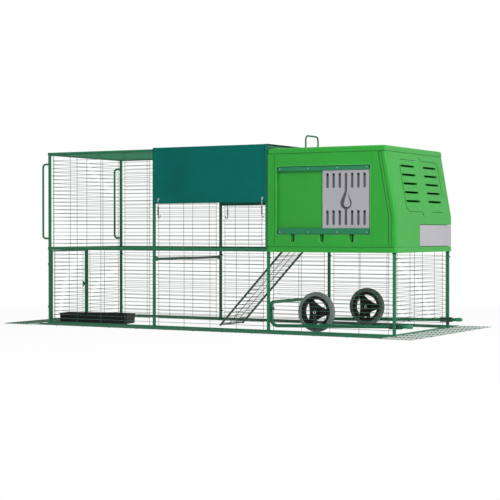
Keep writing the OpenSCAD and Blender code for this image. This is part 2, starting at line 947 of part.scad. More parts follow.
module coop_roof() {
  color(coop_green)
    difference() {
      hull() {
        roof_plate(0, lid_z);
        for (k = [1 : roof_steps]) {
          a = 90 * k / roof_steps;
          roof_plate(roof_round * (1 - cos(a)), lid_z + roof_edge - roof_round * (1 - sin(a)) - eps);
        }
        roof_plate(crown_in, lid_z + roof_edge + roof_crown - eps);
      }
      block(
        [cx0 + wall_t, -cy + wall_t, lid_z - 1],
        [tail_x(lid_z, 0) - wall_t, cy - wall_t, lid_z + roof_edge - roof_t]
      );
      for (s = sides)
        bar([lift_x, s * lift_y, lid_z - 1], [lift_x, s * lift_y, lid_z + far], lift_d + 2 * lift_room);
    }
}

// Slide rails: a back strip on the recess and a lip over the door's edge
module slide_rail(z, h, door_lo, door_hi) {
  difference() {
    block([rail_x0, lip_y - rail_lip_t, z], [rail_x1, seat_y, z + h]);
    block([rail_x0 - 1, lip_y, door_lo], [rail_x1 + 1, seat_y + 1, door_hi]);
  }
}

module port_rails() {
  color(dark_green) {
    slide_rail(rail_lo_z, rail_lo_h, port_lo - port_gap, far);
    slide_rail(rail_hi_z, rail_hi_h, -far, port_hi + port_gap);
  }
}

screw_d = 8;
screw_t = 3;
screw_count = 4;
screw_in = 17;
screw_edge = 14;

module rail_screws() {
  color(vent_grey)
    for (k = [0 : screw_count - 1], z = [rail_lo_z + screw_edge, rail_hi_z + rail_hi_h - screw_edge]) {
      x = rail_x0 + screw_in + k * (rail_x1 - rail_x0 - 2 * screw_in) / (screw_count - 1);
      bar([x, lip_y - rail_lip_t, z], [x, lip_y - rail_lip_t - screw_t, z], screw_d);
    }
}

// Outline of a drop, point up, centred on its round end
module drop(w, h) {
  r = w / 2;
  tip = h - r;
  a = asin(r / tip);
  circle(r = r);
  polygon([[r * cos(a), r * sin(a)], [0, tip], [-r * cos(a), r * sin(a)]]);
}

port_slot_in = 38;
port_slot_pitch = (port_door_l - 2 * port_slot_in) / (port_slots - 1);
port_slot_h = 108;
port_slot_edge = 20;
port_frame = rail_grip + port_slot_edge;
finger_depth = 9.5;
finger_z = (port_lo + port_hi) / 2;
blade_w = 48;
blade_h = 114;
blade_shift = 9;

slot_depth = 9;
stem_join = 20;
hole_d = port_slot_w - 2;

// Upright groove in the door's face, from one height to another
module port_slot(x, lo, hi) {
  translate([x, -port_door_t + slot_depth, (lo + hi) / 2])
    rotate([90, 0, 0])
      linear_extrude(slot_depth + 1)
        rotate(90) stadium(hi - lo, port_slot_w);
}

// Air hole at the top of a groove
module slot_hole(x, hi) {
  z = hi - port_slot_w / 2;
  bar([x, -port_door_t - 1, z], [x, 1, z], hole_d);
}

module port_door() {
  mid_x = (port_x0 + rail_x1) / 2;
  mid_k = (port_slots - 1) / 2;
  low = port_lo + port_frame;
  high = port_hi - port_frame;
  color(vent_grey)
    translate([0, seat_y - port_gap, 0]) {
      difference() {
        block([port_x0, -port_door_t, port_lo], [rail_x1, 0, port_hi]);
        for (k = [0 : port_slots - 1]) {
          x = mid_x + (k - mid_k) * port_slot_pitch;
          join = k == mid_k ? stem_join : 0;
          port_slot(x, low, low + port_slot_h + join);
          port_slot(x, high - port_slot_h - join, high);
          if (k != mid_k) {
            slot_hole(x, low + port_slot_h);
            slot_hole(x, high);
          }
        }
        translate([mid_x, -port_door_t + finger_depth, finger_z - (finger_h - finger_w) / 2])
          rotate([90, 0, 0])
            linear_extrude(finger_depth + 1) drop(finger_w, finger_h);
      }
      translate([mid_x + blade_shift, -port_door_t + finger_depth, finger_z - (blade_h - blade_w) / 2])
        rotate([90, 0, 0])
          linear_extrude(finger_depth) drop(blade_w, blade_h);
    }
}

// Tail: fixed surround, hinged door with vents, tray behind its own front

module tail_surround() {
  color(coop_green)
    difference() {
      intersection() {
        coop_outer(floor_z, lid_z);
        tail_slice(tail_door_depth, shell_back);
      }
      coop_room(floor_z - 1, lid_z - surround_depth);
    }
}

vent_top_up = 577;
vent_near = 337.5;
vent_far = 291.5;
vent_ys = [-cy + vent_near, cy - vent_far];
tray_front_up = 4;
tray_y0 = -cy + tray_side;
tray_top = floor_z + tray_front_up + tray_front_h;
tray_gap = 3;
hinge_ups = [270, 500];
hinge_set = 4;
hinge_x = tail_x(floor_z + hinge_ups[1], tail_door_depth) + hinge_set;
hinge_r = 8;
leaf_gap = 1;
hinge_y = cy + hinge_r + leaf_gap;
knuckle_half = 10;
leaf_half = 24;
leaf_t = 4;
leaf_l = 60;
strap_end = corner_r + 2;
strap_gap = 0.5;
pad_back = 2;
pad_in = 3;

module hinge_bore() {
  bar([hinge_x, hinge_y, 0], [hinge_x, hinge_y, far], hinge_pin_d + 2 * run_fit);
}

module tail_strap(z) {
  x_end = tail_x(z, strap_end);
  x_pad = tail_x(z, tail_door_depth) + tail_gap + pad_back;
  bar([hinge_x, hinge_y, z - knuckle_half], [hinge_x, hinge_y, z + knuckle_half], 2 * hinge_r);
  block([hinge_x, cy + strap_gap, z - knuckle_half], [x_end, cy + strap_gap + leaf_t, z + knuckle_half]);
  block([x_pad, cy - pad_in, z - knuckle_half], [x_end, cy + leaf_gap, z + knuckle_half]);
}

module tail_door() {
  color(coop_green)
    difference() {
      union() {
        difference() {
          intersection() {
            coop_outer(floor_z + tail_gap, lid_z - tail_gap);
            tail_slice(0, tail_door_depth - tail_gap);
          }
          intersection() {
            tail_slice(tail_panel_t, shell_back);
            coop_room(floor_z + wall_t, lid_z - wall_t);
          }
          for (k = [0 : vent_rows - 1], y = vent_ys) {
            z = floor_z + vent_top_up - k * vent_pitch;
            block([cx0, y - vent_l / 2, z - vent_h / 2], [cx1 + 1, y + vent_l / 2, z + vent_h / 2]);
          }
          block([cx0, tray_y0 - tray_gap, floor_z - 1], [cx1 + 1, far, tray_top + tray_gap]);
        }
        for (up = hinge_ups) tail_strap(floor_z + up);
      }
      hinge_bore();
    }
}

module hinge_leaf(z) {
  difference() {
    union() {
      for (s = sides) {
        lo = min(s * (knuckle_half + air), s * leaf_half);
        hi = max(s * (knuckle_half + air), s * leaf_half);
        bar([hinge_x, hinge_y, z + lo], [hinge_x, hinge_y, z + hi], 2 * hinge_r);
        block([hinge_x - leaf_l / 2, cy + leaf_gap, z + lo], [hinge_x, cy + leaf_gap + leaf_t, z + hi]);
      }
      block(
        [hinge_x - leaf_l, cy, z - leaf_half],
        [hinge_x - leaf_l / 2, cy + leaf_gap + leaf_t, z + leaf_half]
      );
    }
    hinge_bore();
  }
}

module hinge_leaves() {
  color(dark_green)
    for (up = hinge_ups) hinge_leaf(floor_z + up);
}

pin_head_d = 14;
pin_head_t = 4;

module hinge_pins() {
  color(steel)
    for (up = hinge_ups) {
      top = floor_z + up + leaf_half;
      bar([hinge_x, hinge_y, top - 2 * leaf_half], [hinge_x, hinge_y, top], hinge_pin_d);
      bar([hinge_x, hinge_y, top], [hinge_x, hinge_y, top + pin_head_t], pin_head_d);
    }
}

tray_wall = 5;
tray_room = 8;
tray_head = 150;
tray_x0 = cx0 + tray_head;

module droppings_tray() {
  front_x = cx1 - tail_door_depth + tail_gap;
  lo = [tray_x0, tray_y0 + tray_room, floor_z + air];
  hi = [front_x, cy - wall_t - tray_room, floor_z + air + tray_h];
  wall = [tray_wall, tray_wall, tray_wall];
  color(vent_grey) {
    difference() {
      block(lo, hi);
      block(lo + wall, [front_x - tray_wall, hi.y - tray_wall, hi.z + 1]);
    }
    intersection() {
      coop_outer(floor_z + tray_front_up, tray_top);
      tail_slice(0, tail_door_depth - tail_gap);
      block([cx0, tray_y0, floor_z], [cx1 + 1, far, lid_z]);
    }
  }
}

// Pop door in the wall that faces the run, lifted by a handle above the roof

pop_side = 12;
pop_room = 1;
guide_w = 30;
guide_wall = 8;
pop_top = floor_z + pop_sill + pop_h + pop_side;

module pop_door() {
  color(dark_green)
    block(
      [lift_x - pop_t / 2, -pop_w / 2 - pop_side, floor_z + air],
      [lift_x + pop_t / 2, pop_w / 2 + pop_side, pop_top]
    );
}

lift_bend = 35;
lift_top = lid_z + roof_edge + roof_crown + lift_up - lift_d / 2;

module lift_handle() {
  color(dark_green)
    translate([lift_x, 0, 0]) {
      for (s = sides) {
        bar([0, s * lift_y, pop_top], [0, s * lift_y, lift_top - lift_bend], lift_d);
        translate([0, s * (lift_y - lift_bend), lift_top - lift_bend])
          rotate([90, 0, 90])
            rotate(s > 0 ? 0 : 90)
              bend(lift_bend, lift_d);
      }
      bar([0, lift_bend - lift_y, lift_top], [0, lift_y - lift_bend, lift_top], lift_d);
    }
}

module pop_guides() {
  slot_x = pop_t / 2 + pop_room;
  color(coop_green)
    for (s = sides) {
      a = min(s * pop_w / 2, s * (pop_w / 2 + guide_w));
      slot_a = min(s * (pop_w / 2 - 1), s * (pop_w / 2 + pop_side + pop_room));
      difference() {
        block(
          [cx0 + wall_t, a, floor_z],
          [lift_x + slot_x + guide_wall, a + guide_w, lid_z]
        );
        block(
          [lift_x - slot_x, slot_a, floor_z - 1],
          [lift_x + slot_x, slot_a + pop_side + pop_room + 1, lid_z + 1]
        );
      }
    }
}

// Nest box behind the egg port, roost rack over the tray

nest_w = 320;
nest_h = 140;
nest_wall = 8;
nest_in = 20;
nest_y0 = -cy + wall_t + air;

module nest_box() {
  lo = [port_x0 - nest_in, nest_y0, floor_z];
  hi = [rail_x1, nest_y0 + nest_w, floor_z + nest_h];
  wall = [nest_wall, nest_wall, nest_wall];
  color(dark_green)
    difference() {
      block(lo, hi);
      block(lo + wall, [hi.x - nest_wall, hi.y - nest_wall, hi.z + 1]);
    }
}

roost_count = 8;
roost_w = 30;
roost_t = 25;
roost_up = 40;
roost_head = 20;
roost_tail = 60;
roost_z = floor_z + tray_h + roost_up;
roost_x0 = tray_x0 + roost_head;
roost_x1 = rail_x1 + roost_tail;
trestle_t = 20;
trestle_leg = 6;
trestle_gap = 1;
trestle_head = 40;
trestle_tail = 60;
trestle_y0 = tray_y0 + tray_room - trestle_leg - trestle_gap;
trestle_y1 = cy - wall_t - trestle_gap;
trestle_xs = [roost_x0 + trestle_head, roost_x1 - trestle_tail];

module roost_bars() {
  color([0.55, 0.42, 0.28])
    for (k = [0 : roost_count - 1]) {
      y = trestle_y0 + k * (trestle_y1 - trestle_y0 - roost_w) / (roost_count - 1);
      block([roost_x0, y, roost_z], [roost_x1, y + roost_w, roost_z + roost_t]);
    }
}

module roost_trestles() {
  color([0.50, 0.38, 0.25])
    for (x = trestle_xs) {
      block([x, trestle_y0, roost_z - trestle_t], [x + trestle_t, trestle_y1, roost_z]);
      block([x, trestle_y0, floor_z], [x + trestle_t, trestle_y0 + trestle_leg, roost_z]);
      block([x, trestle_y1 - trestle_leg, floor_z], [x + trestle_t, trestle_y1, roost_z]);
    }
}

// Ladder from the ground to the doorway, turning on a pin at its top

pivot_out = 14;
pivot_x = cx0 - pivot_out;
pivot_z = floor_z + pivot_up;
ladder_r = ladder_rail_d / 2;
ladder_l = (pivot_z - ladder_r * cos(ladder_slope) - 0.5) / sin(ladder_slope);
ladder_y = ladder_w / 2 - ladder_r;
eye_d = 20;
rung_end = 24;
rung_top = 40;
rung_inset = 117;
pivot_lug_t = 8;
pivot_lug_h = 20;

// Places what is drawn along +Z from the pivot on the ladder's slope
module on_ladder() {
  translate([pivot_x, 0, pivot_z]) rotate([0, 90 - ladder_slope, 0]) children();
}

foot_bar_d = 12;
foot_bar_up = 10;

module ladder_rails() {
  foot = foot_bar_up - ladder_l;
  color(dark_green)
    on_ladder()
      difference() {
        union() {
          for (s = sides) {
            bar([0, s * ladder_y, -ladder_l], [0, s * ladder_y, 0], ladder_rail_d);
            bar([0, s * ladder_y - ladder_r, 0], [0, s * ladder_y + ladder_r, 0], eye_d);
          }
          bar([0, -ladder_y, foot], [0, ladder_y, foot], foot_bar_d);
        }
        bar([0, -far, 0], [0, far, 0], pivot_d + 2 * run_fit);
      }
}

module ladder_rungs() {
  clear_w = ladder_w - 2 * ladder_rail_d;
  color(mesh_grey)
    on_ladder()
      translate([0, -clear_w / 2, -ladder_l])
        rotate([90, 0, 90])
          weld_mesh(clear_w, ladder_l - rung_top, 1, rung_inset, rung_end, rung_pitch, 1, false, false);
}

module ladder_pivot() {
  pin_end = ladder_w / 2 + air + pivot_lug_t;
  color(dark_green) {
    bar([pivot_x, -pin_end, pivot_z], [pivot_x, pin_end, pivot_z], pivot_d);
    for (s = sides) {
      a = min(s * pin_end, s * (ladder_w / 2 + air));
      block(
        [pivot_x - eye_d / 2, a, floor_z],
        [cx0, a + pivot_lug_t, floor_z + pivot_lug_h + pivot_d]
      );
    }
  }
}

// Wheels, their axles and the bent tube frame that carries them

riser_past = 10;
riser_x = x2 + riser_past;
wheel_tube_y = y1 - wheel_tube_in;
wheel_bend = 50;
cross_bend = 36;
grip_l = 45;
low_tube_l = bay_len + grip_past - grip_l - (riser_x - x2);
clamp_l = 94;
clamp_wall = 6;
strap_h = 18;
strap_up = 118;
strap_lap = 4;
strap_clear = 3;

// Places what is drawn from the front bend of the low tubes
module on_wheel_frame() {
  translate([riser_x, 0, wheel_tube_z]) rotate([0, -wheel_tube_slope, 0]) children();
}

// Bend, riser and elbow of one side
module wheel_hoop_side(s) {
  translate([0, s * wheel_tube_y, 0]) {
    translate([wheel_bend, 0, wheel_bend]) rotate([90, 0, 0]) rotate(180) bend(wheel_bend, tube_d);
    bar([0, 0, wheel_bend], [0, 0, cross_tube_up - cross_bend], tube_d);
    translate([0, -s * cross_bend, cross_tube_up - cross_bend])
      rotate([90, 0, 90])
        rotate(s > 0 ? 0 : 90)
          bend(cross_bend, tube_d);
  }
}

module wheel_hoop() {
  cross_y = wheel_tube_y - cross_bend;
  color(frame_green)
    on_wheel_frame() {
      for (s = sides) wheel_hoop_side(s);
      bar([0, -cross_y, cross_tube_up], [0, cross_y, cross_tube_up], tube_d);
    }
}

module wheel_tubes() {
  color(frame_green)
    on_wheel_frame()
      for (s = sides)
        tube([wheel_bend, s * wheel_tube_y, 0], [low_tube_l, s * wheel_tube_y, 0], tube_d, tube_wall);
}

module clamp_sleeve(s) {
  mid = x3 - riser_x;
  difference() {
    on_wheel_frame()
      difference() {
        bar(
          [mid - clamp_l / 2, s * wheel_tube_y, 0],
          [mid + clamp_l / 2, s * wheel_tube_y, 0],
          tube_d + 2 * clamp_wall
        );
        bar([0, s * wheel_tube_y, 0], [far, s * wheel_tube_y, 0], tube_d + 2 * run_fit);
      }
    translate([x3, s * y1, 0]) cylinder(d = tube_d + 2 * run_fit, h = mid_z);
  }
}

module riser_strap(s) {
  wrap = tube_r + strap_lap;
  out_y = y1 - wire_d / 2 - strap_clear;
  in_y = wheel_tube_y - wrap;
  lo = wheel_tube_z + strap_up;
  difference() {
    block(
      [x2 - wrap, min(s * out_y, s * in_y), lo],
      [riser_x + wrap, max(s * out_y, s * in_y), lo + strap_h]
    );
    translate([x2, s * y1, 0]) cylinder(d = tube_d + 2 * run_fit, h = mid_z);
    on_wheel_frame()
      translate([0, s * wheel_tube_y, 0]) cylinder(d = tube_d + 2 * run_fit, h = mid_z);
  }
}

module frame_clamps() {
  color(dark_green)
    for (s = sides) {
      clamp_sleeve(s);
      riser_strap(s);
    }
}

module wheel_grips() {
  grip_r = tube_r + 2;
  color(frame_green)
    on_wheel_frame()
      for (s = sides)
        translate([low_tube_l, s * wheel_tube_y, 0])
          rotate([0, 90, 0])
            rotate_extrude() {
              square([grip_r, grip_l - grip_r]);
              intersection() {
                translate([0, grip_l - grip_r]) circle(r = grip_r);
                square([grip_r, grip_l]);
              }
            }
}

plate_t = 4;
plate_w = 34;
wheel_gap = 1.5;
axle_x = x2 + wheel_x;
axle_z = wheel_lift + wheel_d / 2;
plate_y = wheel_tube_y - tube_r;
hub_y = plate_y - plate_t - wheel_gap;
bolt_head_d = 28;
bolt_head_t = 7;
washer_t = 4;

module axle_bracket() {
  difference() {
    union() {
      block(
        [axle_x - plate_w / 2, plate_y - plate_t, wheel_tube_z - tube_r],
        [axle_x + plate_w / 2, plate_y, axle_z]
      );
      bar([axle_x, plate_y - plate_t, axle_z], [axle_x, plate_y, axle_z], plate_w);
    }
    bar([axle_x, 0, axle_z], [axle_x, far, axle_z], axle_d + 2 * run_fit);
  }
}

module axle_brackets() {
  color(black) {
    axle_bracket();
    mirror([0, 1, 0]) axle_bracket();
  }
}

module axle_bolt() {
  end_y = hub_y - wheel_w - air;
  bar([axle_x, end_y, axle_z], [axle_x, plate_y, axle_z], axle_d);
  bar([axle_x, plate_y, axle_z], [axle_x, plate_y + bolt_head_t, axle_z], bolt_head_d);
  bar([axle_x, end_y - washer_t, axle_z], [axle_x, end_y, axle_z], bolt_head_d);
}

module axle_bolts() {
  color(steel) {
    axle_bolt();
    mirror([0, 1, 0]) axle_bolt();
  }
}

// Places a wheel drawn on the Z axis, outer face at z = 0
module on_axle(s) {
  translate([axle_x, s * hub_y, axle_z]) rotate([s * 90, 0, 0]) children();
}

tyre_shoulder = 11;
tyre_seat = 0.05;

module tyre(s) {
  inner = rim_d / 2 + tyre_seat;
  color(tyre_grey)
    on_axle(s)
      rotate_extrude() {
        translate([inner, 0]) square([tyre_shoulder, wheel_w]);
        translate([inner, 0]) round_rect(wheel_d / 2 - inner, wheel_w, tyre_shoulder);
      }
}

rim_wall = 22;
web_t = 14;
boss_d = 48;
leaf_in = 53;
leaf_reach = 66;
web_r = rim_d / 2 - rim_wall;
leaf_lip = 2;
leaf_out = web_r - leaf_lip;
leaf_angles = [60, 180, 300];

// Leaf-shaped opening between the rim and an arc that bows towards the axle
module leaf_hole() {
  back = sqrt(pow(leaf_out, 2) - pow(leaf_reach, 2)) - leaf_in;
  arc = (pow(back, 2) + pow(leaf_reach, 2)) / (2 * back);
  intersection() {
    circle(r = leaf_out);
    translate([leaf_in + arc, 0]) circle(r = arc);
  }
}

module hub(s) {
  color(black)
    on_axle(s)
      difference() {
        rotate_extrude() {
          translate([web_r, 0]) square([rim_wall, wheel_w]);
          translate([0, (wheel_w - web_t) / 2]) square([web_r + 1, web_t]);
          square([boss_d / 2, wheel_w]);
        }
        translate([0, 0, -1]) cylinder(d = axle_d + 2 * run_fit, h = wheel_w + 2);
        for (a = leaf_angles)
          rotate(a) translate([0, 0, -1]) linear_extrude(wheel_w + 2) leaf_hole();
      }
}

module near_tyre() { tyre(-1); }
module near_hub() { hub(-1); }
module far_tyre() { tyre(1); }
module far_hub() { hub(1); }

foot_blocks();
frame_joints();
run_posts();
coop_legs();
top_rails();
mid_rails();
ground_rails();
front_mesh_lower();
back_mesh_lower();
front_mesh_upper();
back_mesh_upper();
end_mesh_upper();
end_mesh_lower();
tail_mesh();
roof_mesh();
ground_skirts();
grab_handles();
panel_knobs();
end_door_frame();
end_door_mesh();
end_door_latch();
shade_cover();
cover_eyelets();
bungee_cords();
bungee_hooks();
perch_bar();
perch_brackets();
feed_trough();
ladder_rails();
ladder_rungs();
ladder_pivot();
wheel_hoop();
wheel_tubes();
frame_clamps();
wheel_grips();
axle_brackets();
axle_bolts();
near_tyre();
near_hub();
far_tyre();
far_hub();
coop_base();
coop_shell();
coop_roof();
port_rails();
rail_screws();
port_door();
tail_surround();
tail_door();
hinge_leaves();
hinge_pins();
droppings_tray();
pop_door();
lift_handle();
pop_guides();
nest_box();
roost_bars();
roost_trestles();
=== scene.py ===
"""Looks of a mobile hen house: moulded coop on a wheeled tube frame with a wire run."""
import json
import math

import bmesh
import bpy
from mathutils import Matrix, Vector


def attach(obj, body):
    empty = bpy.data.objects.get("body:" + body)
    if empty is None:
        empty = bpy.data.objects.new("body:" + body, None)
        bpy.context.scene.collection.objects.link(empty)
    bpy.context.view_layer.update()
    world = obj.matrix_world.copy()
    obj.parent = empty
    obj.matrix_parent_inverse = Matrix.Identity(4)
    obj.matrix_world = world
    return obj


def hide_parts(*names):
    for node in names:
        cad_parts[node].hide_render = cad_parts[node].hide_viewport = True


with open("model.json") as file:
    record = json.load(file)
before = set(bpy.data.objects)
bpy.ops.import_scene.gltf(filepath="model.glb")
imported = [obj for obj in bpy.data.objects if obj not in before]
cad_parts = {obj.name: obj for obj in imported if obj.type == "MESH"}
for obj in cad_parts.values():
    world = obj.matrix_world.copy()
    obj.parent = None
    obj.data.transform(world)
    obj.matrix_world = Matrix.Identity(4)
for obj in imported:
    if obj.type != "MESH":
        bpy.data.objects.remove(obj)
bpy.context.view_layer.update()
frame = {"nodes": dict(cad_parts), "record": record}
nodes = frame["nodes"]
scene = bpy.context.scene

# Sizes shared with the solids, in metres
X0, X1, X3 = -1.5, -0.5, 1.5
Y1 = 0.4935
Y0 = -Y1
TUBE_R = 0.0125
LOW_Z, MID_LO, MID_HI, TOP_LO, TOP_Z = 0.013, 0.5835, 0.6085, 1.335, 1.3475
FLOOR_Z, LID_Z, FOLD_Z = 0.620, 1.293, 0.840
CX1, CY = 1.525, 0.5155
LEAN = 0.082 / (LID_Z - FOLD_Z)
WIRE_R, MESH_PITCH = 0.0016, 0.030
RAIL_TOP = 1.360


# Materials

def new_material(name):
    m = bpy.data.materials.new(name)
    m.use_nodes = True
    nt = m.node_tree
    nt.nodes.clear()
    out = nt.nodes.new("ShaderNodeOutputMaterial")
    bsdf = nt.nodes.new("ShaderNodeBsdfPrincipled")
    nt.links.new(bsdf.outputs[0], out.inputs[0])
    return m, nt, bsdf


def coords(nt):
    return nt.nodes.new("ShaderNodeTexCoord").outputs["Object"]


def noise(nt, vec, scale, detail, rough=0.5):
    n = nt.nodes.new("ShaderNodeTexNoise")
    n.inputs["Scale"].default_value = scale
    n.inputs["Detail"].default_value = detail
    n.inputs["Roughness"].default_value = rough
    nt.links.new(vec, n.inputs["Vector"])
    return n.outputs["Fac"]


def ramp(nt, fac, low, high):
    """Colour that runs from one (place, colour) stop to the next."""
    r = nt.nodes.new("ShaderNodeValToRGB")
    for element, (place, colour) in zip(r.color_ramp.elements, (low, high)):
        element.position = place
        element.color = colour
    nt.links.new(fac, r.inputs[0])
    return r.outputs[0]


def multiply(nt, a, b):
    mix = nt.nodes.new("ShaderNodeMix")
    mix.data_type = "RGBA"
    mix.blend_type = "MULTIPLY"
    mix.inputs["Factor"].default_value = 1.0
    nt.links.new(a, mix.inputs["A"])
    nt.links.new(b, mix.inputs["B"])
    return mix.outputs["Result"]


NOISE_LOW, NOISE_HIGH = 0.3, 0.7


def spread(nt, fac, lo, hi):
    """Number that follows a noise between two limits."""
    m = nt.nodes.new("ShaderNodeMapRange")
    m.inputs["From Min"].default_value = NOISE_LOW
    m.inputs["From Max"].default_value = NOISE_HIGH
    m.inputs["To Min"].default_value = lo
    m.inputs["To Max"].default_value = hi
    nt.links.new(fac, m.inputs["Value"])
    return m.outputs[0]


def bump(nt, bsdf, height, strength, distance):
    b = nt.nodes.new("ShaderNodeBump")
    b.inputs["Strength"].default_value = strength
    b.inputs["Distance"].default_value = distance
    nt.links.new(height, b.inputs["Height"])
    nt.links.new(b.outputs[0], bsdf.inputs["Normal"])


def linear(rgb):
    """Screen colour, 0 to 255, as light."""
    out = []
    for c in rgb:
        c /= 255
        out.append(c / 12.92 if c <= 0.04045 else ((c + 0.055) / 1.055) ** 2.4)
    return out


def tone(col, k):
    return (*(min(1, c * k) for c in col), 1)


def grey(k):
    return (k, k, k, 1)


def mottled(name, rgb, rough, wide, fine, vary, grain, strength, depth, spec=0.5):
    """Coloured surface with slow shade changes, fine speckle and a moulded or sprayed grain."""
    m, nt, bsdf = new_material(name)
    col = linear(rgb)
    v = coords(nt)
    slow = noise(nt, v, wide, 2)
    speck = noise(nt, v, fine, 4, 0.6)
    base = ramp(nt, slow, (NOISE_LOW, tone(col, 1 - vary)), (NOISE_HIGH, tone(col, 1 + vary)))
    flecks = ramp(nt, speck, (0.35, grey(0.90)), (0.65, grey(1.06)))
    nt.links.new(multiply(nt, base, flecks), bsdf.inputs["Base Color"])
    nt.links.new(spread(nt, speck, rough - 0.06, rough + 0.08), bsdf.inputs["Roughness"])
    bsdf.inputs["Specular IOR Level"].default_value = spec
    bump(nt, bsdf, noise(nt, v, grain, 2), strength, depth)
    return m


YARN_SCALE = 160


def woven(name, rgb, rough):
    """Coated cloth: two crossing yarn waves, along X and round the girth, and slow fading."""
    m, nt, bsdf = new_material(name)
    col = linear(rgb)
    v = coords(nt)
    axes = nt.nodes.new("ShaderNodeSeparateXYZ")
    nt.links.new(v, axes.inputs[0])
    girth = nt.nodes.new("ShaderNodeMath")
    girth.operation = "ADD"
    nt.links.new(axes.outputs["Y"], girth.inputs[0])
    nt.links.new(axes.outputs["Z"], girth.inputs[1])
    cloth = nt.nodes.new("ShaderNodeCombineXYZ")
    nt.links.new(axes.outputs["X"], cloth.inputs["X"])
    nt.links.new(girth.outputs[0], cloth.inputs["Y"])
    yarns = nt.nodes.new("ShaderNodeMath")
    yarns.operation = "MULTIPLY"
    yarns.inputs[1].default_value = 0.5
    total = nt.nodes.new("ShaderNodeMath")
    total.operation = "ADD"
    for k, axis in enumerate("XY"):
        w = nt.nodes.new("ShaderNodeTexWave")
        w.bands_direction = axis
        w.inputs["Scale"].default_value = YARN_SCALE
        w.inputs["Distortion"].default_value = 0.4
        nt.links.new(cloth.outputs[0], w.inputs["Vector"])
        nt.links.new(w.outputs["Fac"], total.inputs[k])
    nt.links.new(total.outputs[0], yarns.inputs[0])
    slow = noise(nt, v, 3.0, 3)
    base = ramp(nt, slow, (NOISE_LOW, tone(col, 0.88)), (NOISE_HIGH, tone(col, 1.12)))
    shade = ramp(nt, yarns.outputs[0], (0.2, grey(0.80)), (0.8, grey(1.10)))
    nt.links.new(multiply(nt, base, shade), bsdf.inputs["Base Color"])
    bsdf.inputs["Roughness"].default_value = rough
    bsdf.inputs["Specular IOR Level"].default_value = 0.10
    bsdf.inputs["Sheen Weight"].default_value = 0.03
    bump(nt, bsdf, yarns.outputs[0], 0.25, 0.0005)
    return m


def steel(name, rgb, rough):
    """Zinc-coated steel with dull patches."""
    m, nt, bsdf = new_material(name)
    col = linear(rgb)
    v = coords(nt)
    patch = noise(nt, v, 90, 4)
    base = ramp(nt, patch, (NOISE_LOW, tone(col, 0.85)), (NOISE_HIGH, tone(col, 1.08)))
    nt.links.new(base, bsdf.inputs["Base Color"])
    nt.links.new(spread(nt, patch, rough - 0.08, rough + 0.10), bsdf.inputs["Roughness"])
    bsdf.inputs["Metallic"].default_value = 0.5
    bump(nt, bsdf, noise(nt, v, 900, 2), 0.08, 0.0003)
    return m


# Each mottled finish: colour, roughness, then the scale of its slow shade and of its speckle, the depth of
# the shade, the scale, strength and height of its grain, and its gloss.
M = {
    "frame_paint": mottled("FramePaint", (24, 112, 74), 0.38, 3, 500, 0.07, 1800, 0.06, 0.0003, 0.3),
    # The frame's green darkened, for green pieces that sit in shadow: painted shade
    "dark_paint": mottled("ShadedFramePaint", (14, 62, 44), 0.34, 3, 500, 0.07, 1800, 0.06, 0.0003),
    "mesh_coat": mottled("MeshCoat", (30, 100, 72), 0.42, 4, 600, 0.10, 2500, 0.05, 0.0002),
    "roof_coat": mottled("RoofCoat", (52, 156, 110), 0.42, 4, 600, 0.10, 2500, 0.05, 0.0002),
    "black_plastic": mottled("BlackPlastic", (6, 8, 8), 0.50, 4, 300, 0.15, 1600, 0.10, 0.0004, 0.2),
    "bracket_paint": mottled("BracketPaint", (16, 18, 18), 0.36, 4, 300, 0.12, 1600, 0.06, 0.0003, 0.4),
    "bare_steel": steel("ZincSteel", (214, 218, 219), 0.34),
    "elastic": woven("Elastic", (190, 197, 192), 0.7),
    "cover_fabric": woven("CoverCloth", (4, 107, 98), 0.66),
    "tyre": mottled("TyreRubber", (124, 130, 129), 0.75, 6, 200, 0.10, 900, 0.18, 0.0006, 0.3),
    "coop_plastic": mottled("CoopPlastic", (40, 156, 49), 0.42, 1.6, 320, 0.045, 1300, 0.10, 0.0004, 0.4),
    "rail_plastic": mottled("RailPlastic", (26, 122, 80), 0.42, 2.5, 320, 0.06, 1300, 0.08, 0.0004, 0.4),
    "grey_plastic": mottled("GreyPlastic", (172, 171, 177), 0.44, 2.0, 320, 0.05, 1300, 0.08, 0.0004, 0.4),
    "roost_plastic": mottled("RoostPlastic", (52, 104, 62), 0.5, 3, 260, 0.10, 900, 0.12, 0.0005),
    # Pale green for the rod round the recess: painted highlight
    "rim_highlight": mottled("PaintedRimHighlight", (88, 190, 92), 0.42, 1.6, 320, 0.04, 1300, 0.06, 0.0003, 0.4),
    # Dark green for the seam rods and the notch plates: painted shade
    "groove": mottled("GrooveShade", (16, 66, 24), 0.7, 3, 320, 0.08, 1300, 0.06, 0.0003, 0.2),
    # Darkened grey for the backs of the door's grooves: painted shade
    "groove_grey": mottled("SlotShadeGrey", (88, 88, 92), 0.6, 3, 320, 0.06, 1300, 0.06, 0.0003, 0.2),
    "white_plastic": mottled("PaleScrew", (176, 204, 192), 0.4, 4, 300, 0.05, 1600, 0.06, 0.0003),
    "grip": mottled("GripRubber", (52, 136, 98), 0.55, 4, 300, 0.08, 1200, 0.10, 0.0004),
}
slot_of = {s["node"]: s["material_slot"] for s in frame["record"]["subparts"]}
PAINT = {
    "rail_screws": "white_plastic", "wheel_grips": "grip", "axle_bolts": "bracket_paint",
    "perch_brackets": "frame_paint",
}


def paint_node(n):
    return M[PAINT.get(n, slot_of[n])]


for n, o in nodes.items():
    o.data.materials.clear()
    o.data.materials.append(paint_node(n))


# Mesh helpers

def add_object(name, verts, faces, material, body, slot):
    """Smooth-shaded piece that rides on a body and takes the finish it is given; the slot is not used."""
    me = bpy.data.meshes.new(name)
    me.from_pydata(verts, [], faces)
    me.validate()
    o = bpy.data.objects.new(name, me)
    scene.collection.objects.link(o)
    me.materials.append(material)
    me.polygons.foreach_set("use_smooth", [True] * len(me.polygons))
    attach(o, body)
    return o


